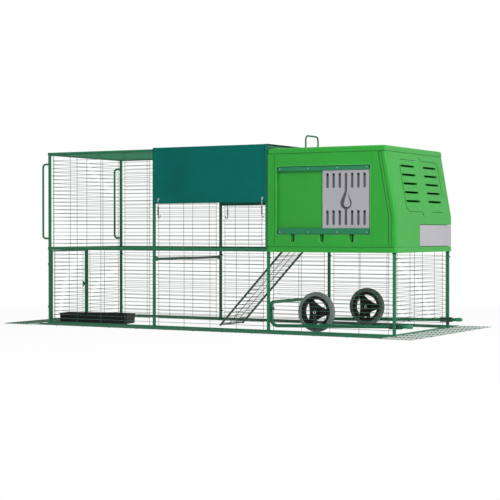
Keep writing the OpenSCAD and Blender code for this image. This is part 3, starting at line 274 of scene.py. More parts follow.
def rods(name, segs, r, material, body, slot, sides=8):
    """One mesh of round rods, each from p to q, with closed ends."""
    verts, faces = [], []
    for p, q in segs:
        p, q = Vector(p), Vector(q)
        d = (q - p).normalized()
        a = d.orthogonal().normalized()
        b = d.cross(a)
        base = len(verts)
        for end in (p, q):
            for k in range(sides):
                t = 2 * math.pi * k / sides
                verts.append(end + (a * math.cos(t) + b * math.sin(t)) * r)
        for k in range(sides):
            j = (k + 1) % sides
            faces.append((base + k, base + j, base + sides + j, base + sides + k))
        faces.append(tuple(base + k for k in reversed(range(sides))))
        faces.append(tuple(base + sides + k for k in range(sides)))
    o = add_object(name, verts, faces, material, body, slot)
    o.data.set_sharp_from_angle(angle=math.radians(60))
    return o


def tube(points, r, sides=10, closed=False):
    """Verts and faces of a round rod along a run of points; r is one size or one for each point."""
    pts = [Vector(p) for p in points]
    n = len(pts)
    radii = r if isinstance(r, (list, tuple)) else [r] * n
    verts, faces = [], []
    a = None
    for i, p in enumerate(pts):
        if closed:
            d = (pts[(i + 1) % n] - pts[i - 1]).normalized()
        else:
            d = (pts[min(i + 1, n - 1)] - pts[max(i - 1, 0)]).normalized()
        if a is None:
            a = d.orthogonal().normalized()
        a = (a - d * a.dot(d)).normalized()
        b = d.cross(a)
        for k in range(sides):
            t = 2 * math.pi * k / sides
            verts.append(p + (a * math.cos(t) + b * math.sin(t)) * radii[i])
    for i in range(n if closed else n - 1):
        i2 = (i + 1) % n
        for k in range(sides):
            j = (k + 1) % sides
            faces.append((i * sides + k, i * sides + j, i2 * sides + j, i2 * sides + k))
    if not closed:
        faces.append(tuple(reversed(range(sides))))
        faces.append(tuple((n - 1) * sides + k for k in range(sides)))
    return verts, faces


def sweeps(name, parts, material, body, slot, node=None):
    """One piece made of several swept rods or thin plates, which may stand for a CAD node."""
    verts, faces = [], []
    for part_verts, part_faces in parts:
        base = len(verts)
        verts += part_verts
        faces += [tuple(base + i for i in face) for face in part_faces]
    o = add_object(name, verts, faces, material, body, slot)
    o.data.set_sharp_from_angle(angle=math.radians(55))
    if node:
        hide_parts(node)


def body_of_node(n):
    bodies = frame["record"]["behaviour"]["bodies"]
    return next(b for b, members in bodies.items() if n in members)


WELD_DIST, FLAT_ANGLE, EDGE_ANGLE = 2e-5, math.radians(0.6), math.radians(30)


def softened(n, width):
    """Copy of a CAD node with rounded edges, which stands for it."""
    me = nodes[n].data.copy()
    me.name = n + "_moulded"
    bm = bmesh.new()
    bm.from_mesh(me)
    bmesh.ops.remove_doubles(bm, verts=bm.verts, dist=WELD_DIST)
    bmesh.ops.dissolve_limit(bm, angle_limit=FLAT_ANGLE, verts=bm.verts, edges=bm.edges, delimit=set())
    bmesh.ops.connect_verts_concave(bm, faces=bm.faces)
    bm.to_mesh(me)
    bm.free()
    if me.attributes.get("custom_normal"):
        me.attributes.remove(me.attributes["custom_normal"])
    o = bpy.data.objects.new(n + "_moulded", me)
    scene.collection.objects.link(o)
    me.materials.clear()
    me.materials.append(paint_node(n))
    me.polygons.foreach_set("use_smooth", [True] * len(me.polygons))
    bev = o.modifiers.new("edges", "BEVEL")
    bev.width = width
    bev.segments = 3
    bev.limit_method = "ANGLE"
    bev.angle_limit = EDGE_ANGLE
    bev.use_clamp_overlap = True
    bev.miter_outer = "MITER_ARC"
    bev.harden_normals = False
    wn = o.modifiers.new("normals", "WEIGHTED_NORMAL")
    wn.keep_sharp = False
    wn.weight = 80
    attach(o, body_of_node(n))
    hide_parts(n)


# Welded wire panels

CROSS_PAST, CLOSE_PAST = 0.006, 0.005
LAYER_OFF = WIRE_R * 0.85


def panel(o, u, v, w, h, gaps, inset, edge=0.027, pitch=MESH_PITCH, tie=6, low=True, high=True):
    """Wires of one panel from its corner o, w along u and h along v: cross wires behind, close wires in
    front. Every tie-th close wire and, with low and high, the cross wires reach the frame."""
    o, u, v = Vector(o), Vector(u), Vector(v)
    n = u.cross(v) * LAYER_OFF
    rows = math.floor((h - 2 * edge) / pitch + 1e-9)
    xs = [inset + i * (w - 2 * inset) / gaps for i in range(gaps + 1)]
    ys = [edge + k * pitch for k in range(rows + 1)]
    segs = []
    for x in xs:
        a = 0 if low else ys[0] - CROSS_PAST
        b = h if high else ys[-1] + CROSS_PAST
        segs.append((o + u * x + v * a + n, o + u * x + v * b + n))
    for k, y in enumerate(ys):
        a, b = (0, w) if k % tie == 0 else (xs[0] - CLOSE_PAST, xs[-1] + CLOSE_PAST)
        segs.append((o + u * a + v * y - n, o + u * b + v * y - n))
    return segs


UX, UY, UZ = (1, 0, 0), (0, 1, 0), (0, 0, 1)
BAY, LAST, END_W, INSET = 0.975, 0.962, 0.962, 0.0295
LOW_H, HIGH_H = MID_LO - LOW_Z, TOP_LO - MID_HI


def mesh_node(node, segs, coat="mesh_coat", r=WIRE_R):
    o = rods(node + "_wires", segs, r, M[coat], body_of_node(node), "mesh_coat")
    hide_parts(node)


for side, y in (("front", Y0), ("back", Y1)):
    low, high = [], []
    for k in range(3):
        low += panel((X0 + k + TUBE_R, y, LOW_Z), UX, UZ, BAY, LOW_H, 4, INSET)
    high += panel((X0 + TUBE_R, y, MID_HI), UX, UZ, BAY, HIGH_H, 4, INSET)
    high += panel((X1 + TUBE_R, y, MID_HI), UX, UZ, LAST, HIGH_H, 4, INSET)
    mesh_node(side + "_mesh_lower", low)
    mesh_node(side + "_mesh_upper", high)
mesh_node("end_mesh_upper", panel((X0, Y0 + TUBE_R, MID_HI), UY, UZ, END_W, HIGH_H, 4, INSET))
mesh_node("end_mesh_lower", panel((X0, TUBE_R, LOW_Z), UY, UZ, Y1 - 2 * TUBE_R, LOW_H, 2, INSET))
WHEEL_TUBE_Z, WHEEL_TUBE_SLOPE = 0.042, math.radians(1.4)
TAIL_LOW = WHEEL_TUBE_Z + (X1 - X0) * math.tan(WHEEL_TUBE_SLOPE)
mesh_node(
    "tail_mesh",
    panel((X3, Y0 + TUBE_R, TAIL_LOW), UY, UZ, END_W, MID_LO - TAIL_LOW, 4, INSET, low=False),
)
mesh_node(
    "roof_mesh",
    panel((X0 + TUBE_R, Y0 + TUBE_R, TOP_Z), UX, UY, BAY, END_W, 4, INSET)
    + panel((X1 + TUBE_R, Y0 + TUBE_R, TOP_Z), UX, UY, LAST, END_W, 4, INSET),
    "roof_coat",
)
DOOR_Y, DOOR_LOW, DOOR_W, DOOR_H = -0.4595, 0.0335, 0.4335, 0.536
mesh_node("end_door_mesh", panel((X0, DOOR_Y, DOOR_LOW), UY, UZ, DOOR_W, DOOR_H, 2, INSET))

SKIRT_W, SKIRT_GAP, SKIRT_ROWS = 0.254, 0.0056, 8
SKIRT_UPPER = WIRE_R * 2.6


def skirt(length, gaps, turn, x, y):
    """Wires of one mat on the ground: the long ones lie across the short ones."""
    rot = Matrix.Rotation(turn, 3, "Z")
    segs = []
    for i in range(gaps + 1):
        px = WIRE_R + i * (length - 2 * WIRE_R) / gaps
        segs.append(((px, WIRE_R, WIRE_R), (px, SKIRT_W - SKIRT_GAP, WIRE_R)))
    for k in range(SKIRT_ROWS):
        py = WIRE_R + k * MESH_PITCH
        segs.append(((0, py, SKIRT_UPPER), (length, py, SKIRT_UPPER)))
    return [tuple(rot @ Vector(p) + Vector((x, y, 0)) for p in s) for s in segs]


END_L = 2 * Y1 + 2 * SKIRT_W
mesh_node(
    "ground_skirts",
    skirt(X3 - X0, 12, 0, X0, Y0 - SKIRT_W)
    + skirt(X3 - X0, 12, math.pi, X3, Y1 + SKIRT_W)
    + skirt(END_L, 8, math.pi / 2, X3 + SKIRT_W, -END_L / 2)
    + skirt(END_L, 8, -math.pi / 2, X0 - SKIRT_W, END_L / 2),
)

SLOPE = math.radians(46.5)
PIVOT_X, PIVOT_Z = 0.490, 0.634
UP = Vector((math.cos(SLOPE), 0, math.sin(SLOPE)))
RAIL_R, FOOT_GAP, HEAD_GAP = 0.008, 0.0005, 0.040
RUNG_R, RUNG_W, RUNG_INSET, RUNG_EDGE, RUNG_PITCH = 0.0023, 0.328, 0.117, 0.024, 0.040
LADDER_L = (PIVOT_Z - RAIL_R * math.cos(SLOPE) - FOOT_GAP) / math.sin(SLOPE)
ladder_foot = Vector((PIVOT_X, -RUNG_W / 2, PIVOT_Z)) - UP * LADDER_L
mesh_node(
    "ladder_rungs",
    panel(ladder_foot, UY, UP, RUNG_W, LADDER_L - HEAD_GAP, 1, RUNG_INSET,
          edge=RUNG_EDGE, pitch=RUNG_PITCH, tie=1, low=False, high=False),
    "dark_paint", RUNG_R,
)

# Moulded and welded pieces, each with the width of its rounded edges

for n, w in (
    ("coop_shell", 0.006), ("coop_base", 0.006), ("coop_roof", 0.004), ("tail_door", 0.005),
    ("tail_surround", 0.004), ("droppings_tray", 0.005), ("port_door", 0.0022), ("port_rails", 0.0014),
    ("nest_box", 0.003), ("pop_guides", 0.002), ("pop_door", 0.003), ("roost_bars", 0.004),
    ("roost_trestles", 0.002), ("feed_trough", 0.003), ("frame_joints", 0.0035), ("foot_blocks", 0.003),
    ("axle_brackets", 0.001), ("frame_clamps", 0.002), ("hinge_leaves", 0.0012), ("ladder_pivot", 0.0015),
    ("end_door_latch", 0.002), ("near_hub", 0.004), ("far_hub", 0.004), ("rail_screws", 0.0012),
    ("wheel_grips", 0.001),
):
    softened(n, w)

# Tyres with a blocked tread

AXLE_X, AXLE_Z = 0.860, 0.150
TYRE_OUT, TYRE_W = 0.4485, 0.040
TYRE_IN, WALL_H, WALL_HOLLOW = 0.1151, 0.0179, 0.0012
SHOULDER_LOW, SHOULDER_R = 0.133, 0.0105
CROWN_R, CROWN_RISE, CROWN_W = 0.1435, 0.0010, 0.0095
TYRE_STEPS, LUG_STEPS, GROOVE_STEPS, LUG_SLANT = 288, 12, 3.2, 500
GROOVE_CUT, GROOVE_REACH, GROOVE_FOOT = 0.0032, 0.0165, 0.138
MIDDLE_CUT, MIDDLE_REACH = 0.0022, 0.0012


def tyre(name, node, body, y_out, sign):
    """Lathe about the axle; the crown is cut by slanted grooves that meet at the middle."""
    half = []
    for k in range(7):
        half.append((TYRE_IN + WALL_H * k / 6, WALL_HOLLOW * (1 - math.sin(math.pi * k / 6))))
    for k in range(1, 7):
        a = math.pi / 2 * k / 6
        half.append((SHOULDER_LOW + SHOULDER_R * math.sin(a), SHOULDER_R * (1 - math.cos(a))))
    for k in range(1, 7):
        half.append((CROWN_R + CROWN_RISE * math.sin(math.pi / 2 * k / 6), SHOULDER_R + CROWN_W * k / 6))
    prof = half + [(r, TYRE_W - t) for r, t in reversed(half[:-1])]
    verts, faces = [], []
    for i in range(TYRE_STEPS):
        for r, t in prof:
            th = 2 * math.pi * i / TYRE_STEPS
            mid = abs(t - TYRE_W / 2)
            in_groove = (i + mid * LUG_SLANT) % LUG_STEPS < GROOVE_STEPS
            cut = GROOVE_CUT if in_groove and mid < GROOVE_REACH and r > GROOVE_FOOT else 0.0
            centre = MIDDLE_CUT if mid < MIDDLE_REACH else 0.0
            rr = r - max(cut, centre)
            verts.append((AXLE_X + rr * math.cos(th), y_out + sign * t, AXLE_Z + rr * math.sin(th)))
    m = len(prof)
    for i in range(TYRE_STEPS):
        j = (i + 1) % TYRE_STEPS
        for k in range(m):
            k2 = (k + 1) % m
            f = (i * m + k, i * m + k2, j * m + k2, j * m + k)
            faces.append(f if sign < 0 else f[::-1])
    o = add_object(name, verts, faces, M["tyre"], body, "tyre")
    o.data.set_sharp_from_angle(angle=math.radians(38))
    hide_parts(node)


tyre("near_tyre_tread", "near_tyre", "near_wheel", -TYRE_OUT, 1)
tyre("far_tyre_tread", "far_tyre", "far_wheel", TYRE_OUT, -1)

# Cover cloth with sag, hems and stitching

COVER_W, COVER_DROP = 0.997, 0.417
HEM_Z = RAIL_TOP - COVER_DROP
SIDE_Y, FOLD_R = 0.5110, 0.006
BATTEN_T, BATTEN_W, BATTEN_R, BATTEN_L = 0.007, 0.020, 0.002, 1.011
BATTEN_LOW = 1.3604
BATTEN_CHAMFER, BATTEN_END, RUN_GAP, COOP_GAP = 0.0015, 0.8, 0.0015, 0.0005
TOP = 1.3613 + BATTEN_T
ON_TOP = TOP - 0.0001
SIDE_STEPS, TOP_STEPS, LONG_STEPS = 30, 44, 72
CLOTH_T, HEM_T = 0.0014, 0.0012
HEM_W, HEM_OUT = 0.030, 0.0011
BIND_W, BIND_OUT, BIND_IN = 0.022, 0.0012, 0.0005
STITCHES, STITCH_L, STITCH_R = 120, 0.0052, 0.0005
STITCH_UP, STITCH_OUT, STITCH_END = 0.026, 0.0020, 0.006
COVER_SAG, SAG_POWER = 0.0065, 0.8
WAVE_OUT, WAVE_POWER, WAVE_COUNT, WAVE_START, WAVE_FAR = 0.0022, 1.4, 2.6, 0.17, 0.6
SIDE_SWELL, HEM_LIFT, HEM_PULL = 0.0010, 0.0012, 0.005


def cover_profile():
    """Section of the cloth in Y and Z, from the near hem over the top to the far hem."""
    near = [(-SIDE_Y, HEM_Z + (TOP - FOLD_R - HEM_Z) * k / SIDE_STEPS) for k in range(SIDE_STEPS + 1)]
    for k in range(1, 6):
        a = math.pi / 2 * k / 6
        near.append((-SIDE_Y + FOLD_R * (1 - math.cos(a)), TOP - FOLD_R + FOLD_R * math.sin(a)))
    across = 2 * (SIDE_Y - FOLD_R)
    top = [(-SIDE_Y + FOLD_R + across * k / TOP_STEPS, TOP) for k in range(TOP_STEPS + 1)]
    return near + top + [(-y, z) for y, z in reversed(near)]


def cover_point(x, y, z):
    """Place on the hung cloth: sagging top, sides that stand off a little in soft folds."""
    u = (x - X1) / COVER_W
    if z > ON_TOP:
        v = (y + SIDE_Y) / (2 * SIDE_Y)
        sag = COVER_SAG * math.sin(math.pi * u) * max(0.0, math.sin(math.pi * v)) ** SAG_POWER
        return (x, y, z - sag)
    drop = max(0.0, min(1.0, (TOP - z) / (TOP - HEM_Z)))
    turn = 2 * math.pi * (WAVE_COUNT * u + WAVE_START) + (WAVE_FAR if y > 0 else 0.0)
    fold = 0.5 + 0.5 * math.sin(turn)
    swell = WAVE_OUT * drop ** WAVE_POWER * fold + SIDE_SWELL * math.sin(math.pi * drop)
    lift = HEM_LIFT * drop ** 3 * math.sin(math.pi * max(0, min(1, (u - 0.05) / 0.92))) ** 2
    pull = HEM_PULL * drop * u ** 2
    return (x - pull, y + math.copysign(swell, y), z + lift)


def cover_sheet(prof, xs, out=0.0):
    """Verts and faces of a stretch of cloth, or of a strip that lies a little outside it."""
    verts, faces = [], []
    for x in xs:
        for y, z in prof:
            px, py, pz = cover_point(x, y, z)
            verts.append((px, py, pz + out) if z > ON_TOP else (px, py + math.copysign(out, y), pz))
    m = len(prof)
    for i in range(len(xs) - 1):
        for k in range(m - 1):
            faces.append((i * m + k, (i + 1) * m + k, (i + 1) * m + k + 1, i * m + k + 1))
    return verts, faces


def cloth(name, thickness, prof, xs, out=0.0):
    o = add_object(name, *cover_sheet(prof, xs, out), M["cover_fabric"], "frame", "cover_fabric")
    thick = o.modifiers.new("thickness", "SOLIDIFY")
    thick.thickness = thickness
    thick.offset = 0
    return o


PROFILE = cover_profile()
XS = [X1 + COVER_W * i / LONG_STEPS for i in range(LONG_STEPS + 1)]
cover = cloth("shade_cover_cloth", CLOTH_T, PROFILE, XS)
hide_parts("shade_cover")
hem_near = [(-SIDE_Y, HEM_Z + HEM_W * k / 4) for k in range(5)]
hem_far = [(-y, z) for y, z in reversed(hem_near)]
bind_run = [X1 + BIND_IN + BIND_W * k / 3 for k in range(4)]
bind_coop = [X1 + COVER_W - BIND_IN - BIND_W + BIND_W * k / 3 for k in range(4)]
hems = [
    cloth("cover_hem_near", HEM_T, hem_near, XS, HEM_OUT),
    cloth("cover_hem_far", HEM_T, hem_far, XS, HEM_OUT),
    cloth("cover_binding_run", HEM_T, PROFILE, bind_run, BIND_OUT),
    cloth("cover_binding_coop", HEM_T, PROFILE, bind_coop, BIND_OUT),
]
stitches = []
for s in (-1, 1):
    for k in range(STITCHES):
        x = X1 + STITCH_END + k * (COVER_W - 2 * STITCH_END) / STITCHES
        p = Vector(cover_point(x, s * SIDE_Y, HEM_Z + STITCH_UP)) + Vector((0, s * STITCH_OUT, 0))
        stitches.append((p, p + Vector((STITCH_L, 0, 0))))
hems.append(rods("cover_stitching", stitches, STITCH_R, M["rail_plastic"], "frame", "cover_fabric", 6))


def batten(name, x):
    """Flat bar with rounded edges, across the rails under one end of the cloth."""
    z = BATTEN_LOW + BATTEN_T / 2
    flat_w, flat_t = BATTEN_W / 2 - BATTEN_R, BATTEN_T / 2 - BATTEN_R
    section = []
    for sx, sz, start in ((1, 1, 0), (-1, 1, 90), (-1, -1, 180), (1, -1, 270)):
        for k in range(4):
            a = math.radians(start + 30 * k)
            section.append((sx * flat_w + BATTEN_R * math.cos(a), sz * flat_t + BATTEN_R * math.sin(a)))
    end, shoulder = BATTEN_L / 2, BATTEN_L / 2 - BATTEN_CHAMFER
    loops = ((-end, BATTEN_END), (-shoulder, 1.0), (shoulder, 1.0), (end, BATTEN_END))
    n = len(section)
    verts = [(x + u * k, y, z + w * k) for y, k in loops for u, w in section]
    faces = [tuple(range(n)), tuple(reversed(range(3 * n, 4 * n)))]
    for i in range(3):
        for k in range(n):
            j = (k + 1) % n
            faces.append((i * n + k, (i + 1) * n + k, (i + 1) * n + j, i * n + j))
    o = add_object(name, verts, faces, M["black_plastic"], "frame", "black_plastic")
    o.data.set_sharp_from_angle(angle=math.radians(50))
    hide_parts("shade_cover")


batten("cover_batten_run", X1 + RUN_GAP + BATTEN_W / 2)
batten("cover_batten_coop", X1 + COVER_W - COOP_GAP - BATTEN_W / 2)

# Eyelets, elastic cords and hooks

EYE_RUN, EYE_COOP, EYE_UP = 0.052, 0.038, 0.032
EYES = (X1 + EYE_RUN, X1 + COVER_W - EYE_COOP)
EYE_Z = HEM_Z + EYE_UP
EYE_Y, EYE_R, EYE_WIRE = 0.5138, 0.0070, 0.0019
CORD_Y, CORD_D, CORD_RIB, CORD_STEPS = 0.5198, 0.005, 0.00022, 20
KNOT_SIZE, KNOT_R = 0.00115, 0.0019
HOOK_TOP, HOOK_BEND, HOOK_TIP_Y, HOOK_WIRE = 0.9088, 0.8508, 0.4875, 0.0024
HOOK_NECK, HOOK_SHANK, HOOK_TIP = 0.020, 0.012, 0.005
HOOK_R = (CORD_Y - HOOK_TIP_Y) / 2
SLEEVE = (
    (-0.056, 0.0026), (-0.053, 0.0040), (-0.014, 0.0046), (0.002, 0.0044), (0.010, 0.0036), (0.011, 0.0028),
)


def ring(cx, cy, cz, r, n=28):
    """Circle about the Y direction."""
    step = 2 * math.pi / n
    return [(cx + r * math.cos(step * k), cy, cz + r * math.sin(step * k)) for k in range(n)]


def knot(x, y, z, size, n=60):
    """Overhand knot, closed."""
    pts = []
    for k in range(n):
        t = 2 * math.pi * k / n
        pts.append((
            x + size * (math.sin(t) + 2 * math.sin(2 * t)),
            y - size * math.sin(3 * t),
            z + size * (math.cos(t) - 2 * math.cos(2 * t)),
        ))
    return pts


eyelets, hooks = [], []
for i, x in enumerate(EYES):
    for s, tag in ((-1, "near"), (1, "far")):
        y = s * CORD_Y
        eyelets.append(tube(ring(x, s * EYE_Y, EYE_Z, EYE_R), EYE_WIRE, 8, True))
        line = [(x, y, EYE_Z - (EYE_Z - HOOK_TOP) * k / CORD_STEPS) for k in range(CORD_STEPS + 1)]
        ribs = [CORD_D / 2 + CORD_RIB * (k % 2) for k in range(CORD_STEPS + 1)]
        cord = add_object(f"bungee_{tag}_{i}", *tube(line, ribs, 12), M["elastic"], "frame", "elastic")
        ball = add_object(
            f"bungee_knot_{tag}_{i}", *tube(knot(x, y, EYE_Z, KNOT_SIZE), KNOT_R, 8, True),
            M["elastic"], "frame", "elastic",
        )
        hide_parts("bungee_cords")
        bend = [(x, y, HOOK_TOP), (x, y, HOOK_TOP - HOOK_NECK), (x, y, HOOK_BEND + HOOK_SHANK)]
        for k in range(17):
            a = math.pi * k / 16
            bend.append((x, s * (CORD_Y - HOOK_R + HOOK_R * math.cos(a)), HOOK_BEND - HOOK_R * math.sin(a)))
        bend.append((x, s * HOOK_TIP_Y, HOOK_BEND + HOOK_TIP))
        hooks.append(tube(bend, HOOK_WIRE, 10))
        hooks.append(tube([(x, y, HOOK_TOP + dz) for dz, _ in SLEEVE], [r for _, r in SLEEVE], 14))
sweeps("eyelet_rings", eyelets, M["bare_steel"], "frame", "bare_steel", "cover_eyelets")
sweeps("bungee_hook_set", hooks, M["black_plastic"], "frame", "black_plastic", "bungee_hooks")

# Seams and grooves in the mouldings, drawn as thin dark green rods: painted shade in each seam and groove

SEAM_X, FAINT_X = 0.561, 1.339
LAP_X = 0.492
VENT_R, ROOF_SEAM_R, BASE_R, LEAN_R = 0.0018, 0.0017, 0.0015, 0.0014
SEAM_R, FAINT_R, GAP_R = 0.0012, 0.0007, 0.0026
LINE_PROUD, LINE_STEP = 0.0002, 0.02
VENT_CORNER, CORNER_SHARE = 0.005, 0.45


def tail_x(z, inset=0.0):
    """Place of the tail face at a height: upright below the fold, leaning above it."""
    return CX1 - inset - max(0.0, z - FOLD_Z) * LEAN


def tail_pts(path):
    """Path in Y and Z, in short steps on the tail face."""
    flat = []
    for (ya, za), (yb, zb) in zip(path, path[1:]):
        steps = max(2, int(math.hypot(yb - ya, zb - za) / LINE_STEP))
        flat += [(ya + (yb - ya) * k / steps, za + (zb - za) * k / steps) for k in range(steps)]
    return [(tail_x(z) + LINE_PROUD, y, z) for y, z in flat + [path[-1]]]


def smooth_corners(path, cut):
    """Path with each corner replaced by a short arc."""
    out = [path[0]]
    for a, b, c in zip(path, path[1:], path[2:]):
        a, b, c = Vector(a), Vector(b), Vector(c)
        k = min(cut, (b - a).length * CORNER_SHARE, (c - b).length * CORNER_SHARE)
        p, q = b + (a - b).normalized() * k, b + (c - b).normalized() * k
        for i in range(6):
            t = i / 5
            out.append(tuple(p * (1 - t) ** 2 + b * 2 * t * (1 - t) + q * t ** 2))
    return out + [path[-1]]


VENT_LINES = {
    "near": (
        [(-0.296, 1.243), (-0.046, 1.243)],
        [(-0.316, 1.200), (-0.316, 0.905), (-0.276, 0.872), (-0.040, 0.872), (-0.022, 0.836)],
    ),
    "far": (
        [(0.062, 1.268), (0.086, 1.243), (0.352, 1.243), (0.388, 1.210), (0.388, 0.985)],
        [(0.140, 0.872), (0.348, 0.872)],
    ),
}
for side, lines in VENT_LINES.items():
    sweeps(
        f"vent_line_{side}", [tube(tail_pts(smooth_corners(line, VENT_CORNER)), VENT_R, 6) for line in lines],
        M["groove"], "tail_door", "coop_plastic",
    )

SHELL_BACK, DOOR_DEPTH, DOOR_SEAM_IN = 0.060, 0.038, 0.0004
CORNER = 0.022
ROOF_X0, ROOF_R = 0.5005, 0.016
SEAM_UP, SEAM_IN = 0.0008, 0.0004


def level_loop(z, x_lo, x_hi, y_out, r, inset):
    """Closed line round the coop at one height."""
    pts = []
    ax, bx, cy_out = x_hi - r, x_lo + r, y_out - r
    for cx, cy, start in ((ax, cy_out, 0), (bx, cy_out, 90), (bx, -cy_out, 180), (ax, -cy_out, 270)):
        for k in range(9):
            a = math.radians(start + 90 * k / 8)
            pts.append((cx + (r - inset) * math.cos(a), cy + (r - inset) * math.sin(a), z))
    return pts


roof_line = level_loop(LID_Z + SEAM_UP, ROOF_X0, tail_x(LID_Z), CY, ROOF_R, SEAM_IN)
sweeps("roof_seam_shade", [tube(roof_line, ROOF_SEAM_R, 6, True)], M["groove"], "frame", "coop_plastic")
SUNK = 0.0003
LEAN_ZS = (FLOOR_Z + 0.006, FOLD_Z, 0.95, 1.1, LID_Z - 0.004)
SEAM_ZS = (0.628, 0.8, 1.0, 1.15, 1.287)
base_lines, lean_lines, plain_seams, faint_seams = [], [], [], []
for s in (-1, 1):
    y = s * (CY - SUNK)
    bend = []
    for a in (132, 124, 116, 108, 100, 94):
        along, out = ((CORNER - SUNK) * f(math.radians(a)) for f in (math.cos, math.sin))
        bend.append((LAP_X + CORNER + along, s * (CY - CORNER + out), FLOOR_Z))
    flat = [(x, y, FLOOR_Z) for x in (LAP_X + CORNER, 0.8, 1.1, 1.4, CX1 - CORNER)]
    base_lines.append(tube(bend + flat, BASE_R, 6))
    for inset in (SHELL_BACK, DOOR_DEPTH + DOOR_SEAM_IN):
        lean_lines.append(tube([(tail_x(z, inset), y, z) for z in LEAN_ZS], LEAN_R, 6))
    plain_seams.append(tube([(SEAM_X, y, z) for z in SEAM_ZS], SEAM_R, 6))
    faint_seams.append(tube([(FAINT_X, y, z) for z in SEAM_ZS], FAINT_R, 6))
sweeps("base_seam", base_lines, M["groove"], "frame", "coop_plastic")
sweeps("surround_seams", lean_lines, M["groove"], "frame", "coop_plastic")
sweeps("shell_seams", plain_seams, M["groove"], "frame", "coop_plastic")
sweeps("shell_faint_seams", faint_seams, M["groove"], "frame", "coop_plastic")

# Dark rod along the top edge of the tray: painted shadow in the gap above it
TRAY_LINE_Z, TRAY_LINE_IN = 0.7800, 0.0008
tray_line = [(CX1 - TRAY_LINE_IN, y, TRAY_LINE_Z) for y in (-0.0965, 0.05, 0.2, 0.35, 0.425)]
sweeps("tray_gap_shadow", [tube(tray_line, GAP_R, 8)], M["groove"], "tail_door", "coop_plastic")

# Pale rod round the sliding door's recess and its finger notches: painted highlight along the rim

RECESS_X0, RECESS_X1, RECESS_Z0, RECESS_Z1 = 0.575, 1.326, 0.706, 1.202
RECESS_R, HIGHLIGHT_R, HIGHLIGHT_Y = 0.012, 0.0024, 0.0008 - CY
NOTCH_XS, NOTCH_LOW, NOTCH_R = (0.710, 0.945, 1.180), 0.648, 0.0185
NOTCH_MID = NOTCH_LOW + NOTCH_R
HALF_TURN = [math.pi + math.pi * k / 12 for k in range(13)]


def round_corner(x, z, start, n=6):
    steps = (math.radians(start + 90 * k / n) for k in range(n + 1))
    return [(x + RECESS_R * math.cos(a), HIGHLIGHT_Y, z + RECESS_R * math.sin(a)) for a in steps]


rim_x0, rim_x1 = RECESS_X0 + RECESS_R, RECESS_X1 - RECESS_R
rim_z0, rim_z1 = RECESS_Z0 + RECESS_R, RECESS_Z1 - RECESS_R
recess_highlight = []
for x, z, start in ((rim_x1, rim_z1, 0), (rim_x0, rim_z1, 90), (rim_x0, rim_z0, 180)):
    recess_highlight += round_corner(x, z, start)
for x in NOTCH_XS:
    recess_highlight.append((x - NOTCH_R, HIGHLIGHT_Y, RECESS_Z0))
    for a in HALF_TURN:
        recess_highlight.append((x + NOTCH_R * math.cos(a), HIGHLIGHT_Y, NOTCH_MID + NOTCH_R * math.sin(a)))
    recess_highlight.append((x + NOTCH_R, HIGHLIGHT_Y, RECESS_Z0))
recess_highlight += round_corner(rim_x1, rim_z0, 270)
sweeps("recess_highlight", [tube(recess_highlight, HIGHLIGHT_R, 8, True)], M["rim_highlight"], "frame", "coop_plastic")

# Dark plates at the backs of the grooves in the sliding door and of the notches: painted shade in these
# hollows; black plates at the slots' upper ends are painted shade in the air holes

PORT_MID, PORT_FACE = 1.1305, -0.506
GROOVE_Y, DROP_Y, HOLE_SHADE_Y = PORT_FACE + 0.0082, PORT_FACE + 0.0088, PORT_FACE + 0.0073
SLOT_PITCH, SLOT_R, SLOT_COUNT = 0.0485, 0.0095, 7
SLOT_ENDS = ((0.7745, 0.8815), (1.0385, 1.1455))
STEM = 0.020
HOLE_SHADE_LOW, HOLE_SHADE_HIGH = 0.0192, 0.0001
DROP_Z, DROP_R, DROP_TIP = 0.931, 0.0445, 0.1015
PLATE_T = 0.0008
NOTCH_Y, NOTCH_EDGE, NOTCH_LEFT, NOTCH_TOP = -0.4925, 0.0175, -0.0060, RECESS_Z0 + 0.004


def plate(outline, y):
    """Thin plate along the door's face, from its outline in X and Z."""
    n = len(outline)
    verts = [(x, y, z) for x, z in outline] + [(x, y + PLATE_T, z) for x, z in outline]
    faces = [tuple(range(n)), tuple(reversed(range(n, 2 * n)))]
    faces += [(k, k + n, (k + 1) % n + n, (k + 1) % n) for k in range(n)]
    return verts, faces


def upright_slot(x, lo, hi, n=8):
    """Outline with round ends."""
    pts = []
    for mid, start in ((hi - SLOT_R, 0), (lo + SLOT_R, math.pi)):
        for k in range(n + 1):
            a = start + math.pi * k / n
            pts.append((x + SLOT_R * math.cos(a), mid + SLOT_R * math.sin(a)))
    return pts


def drop_outline(x, z, r, tip, n=40):
    """Round foot with two straight sides that meet in a tip."""
    a = math.asin(r / tip)
    pts = [(x, z + tip)]
    for k in range(n + 1):
        t = math.pi - a + (math.pi + 2 * a) * k / n
        pts.append((x + r * math.cos(t), z + r * math.sin(t)))
    return pts


backs, hole_shades = [], []
for k in range(SLOT_COUNT):
    x = PORT_MID + (k - SLOT_COUNT // 2) * SLOT_PITCH
    stem = STEM if k == SLOT_COUNT // 2 else 0
    (lo_a, lo_b), (hi_a, hi_b) = SLOT_ENDS
    backs.append(plate(upright_slot(x, lo_a, lo_b + stem), GROOVE_Y))
    backs.append(plate(upright_slot(x, hi_a - stem, hi_b), GROOVE_Y))
    if not stem:
        for end in (lo_b, hi_b):
            hole_shades.append(plate(upright_slot(x, end - HOLE_SHADE_LOW, end - HOLE_SHADE_HIGH), HOLE_SHADE_Y))
backs.append(plate(drop_outline(PORT_MID, DROP_Z, DROP_R, DROP_TIP), DROP_Y))
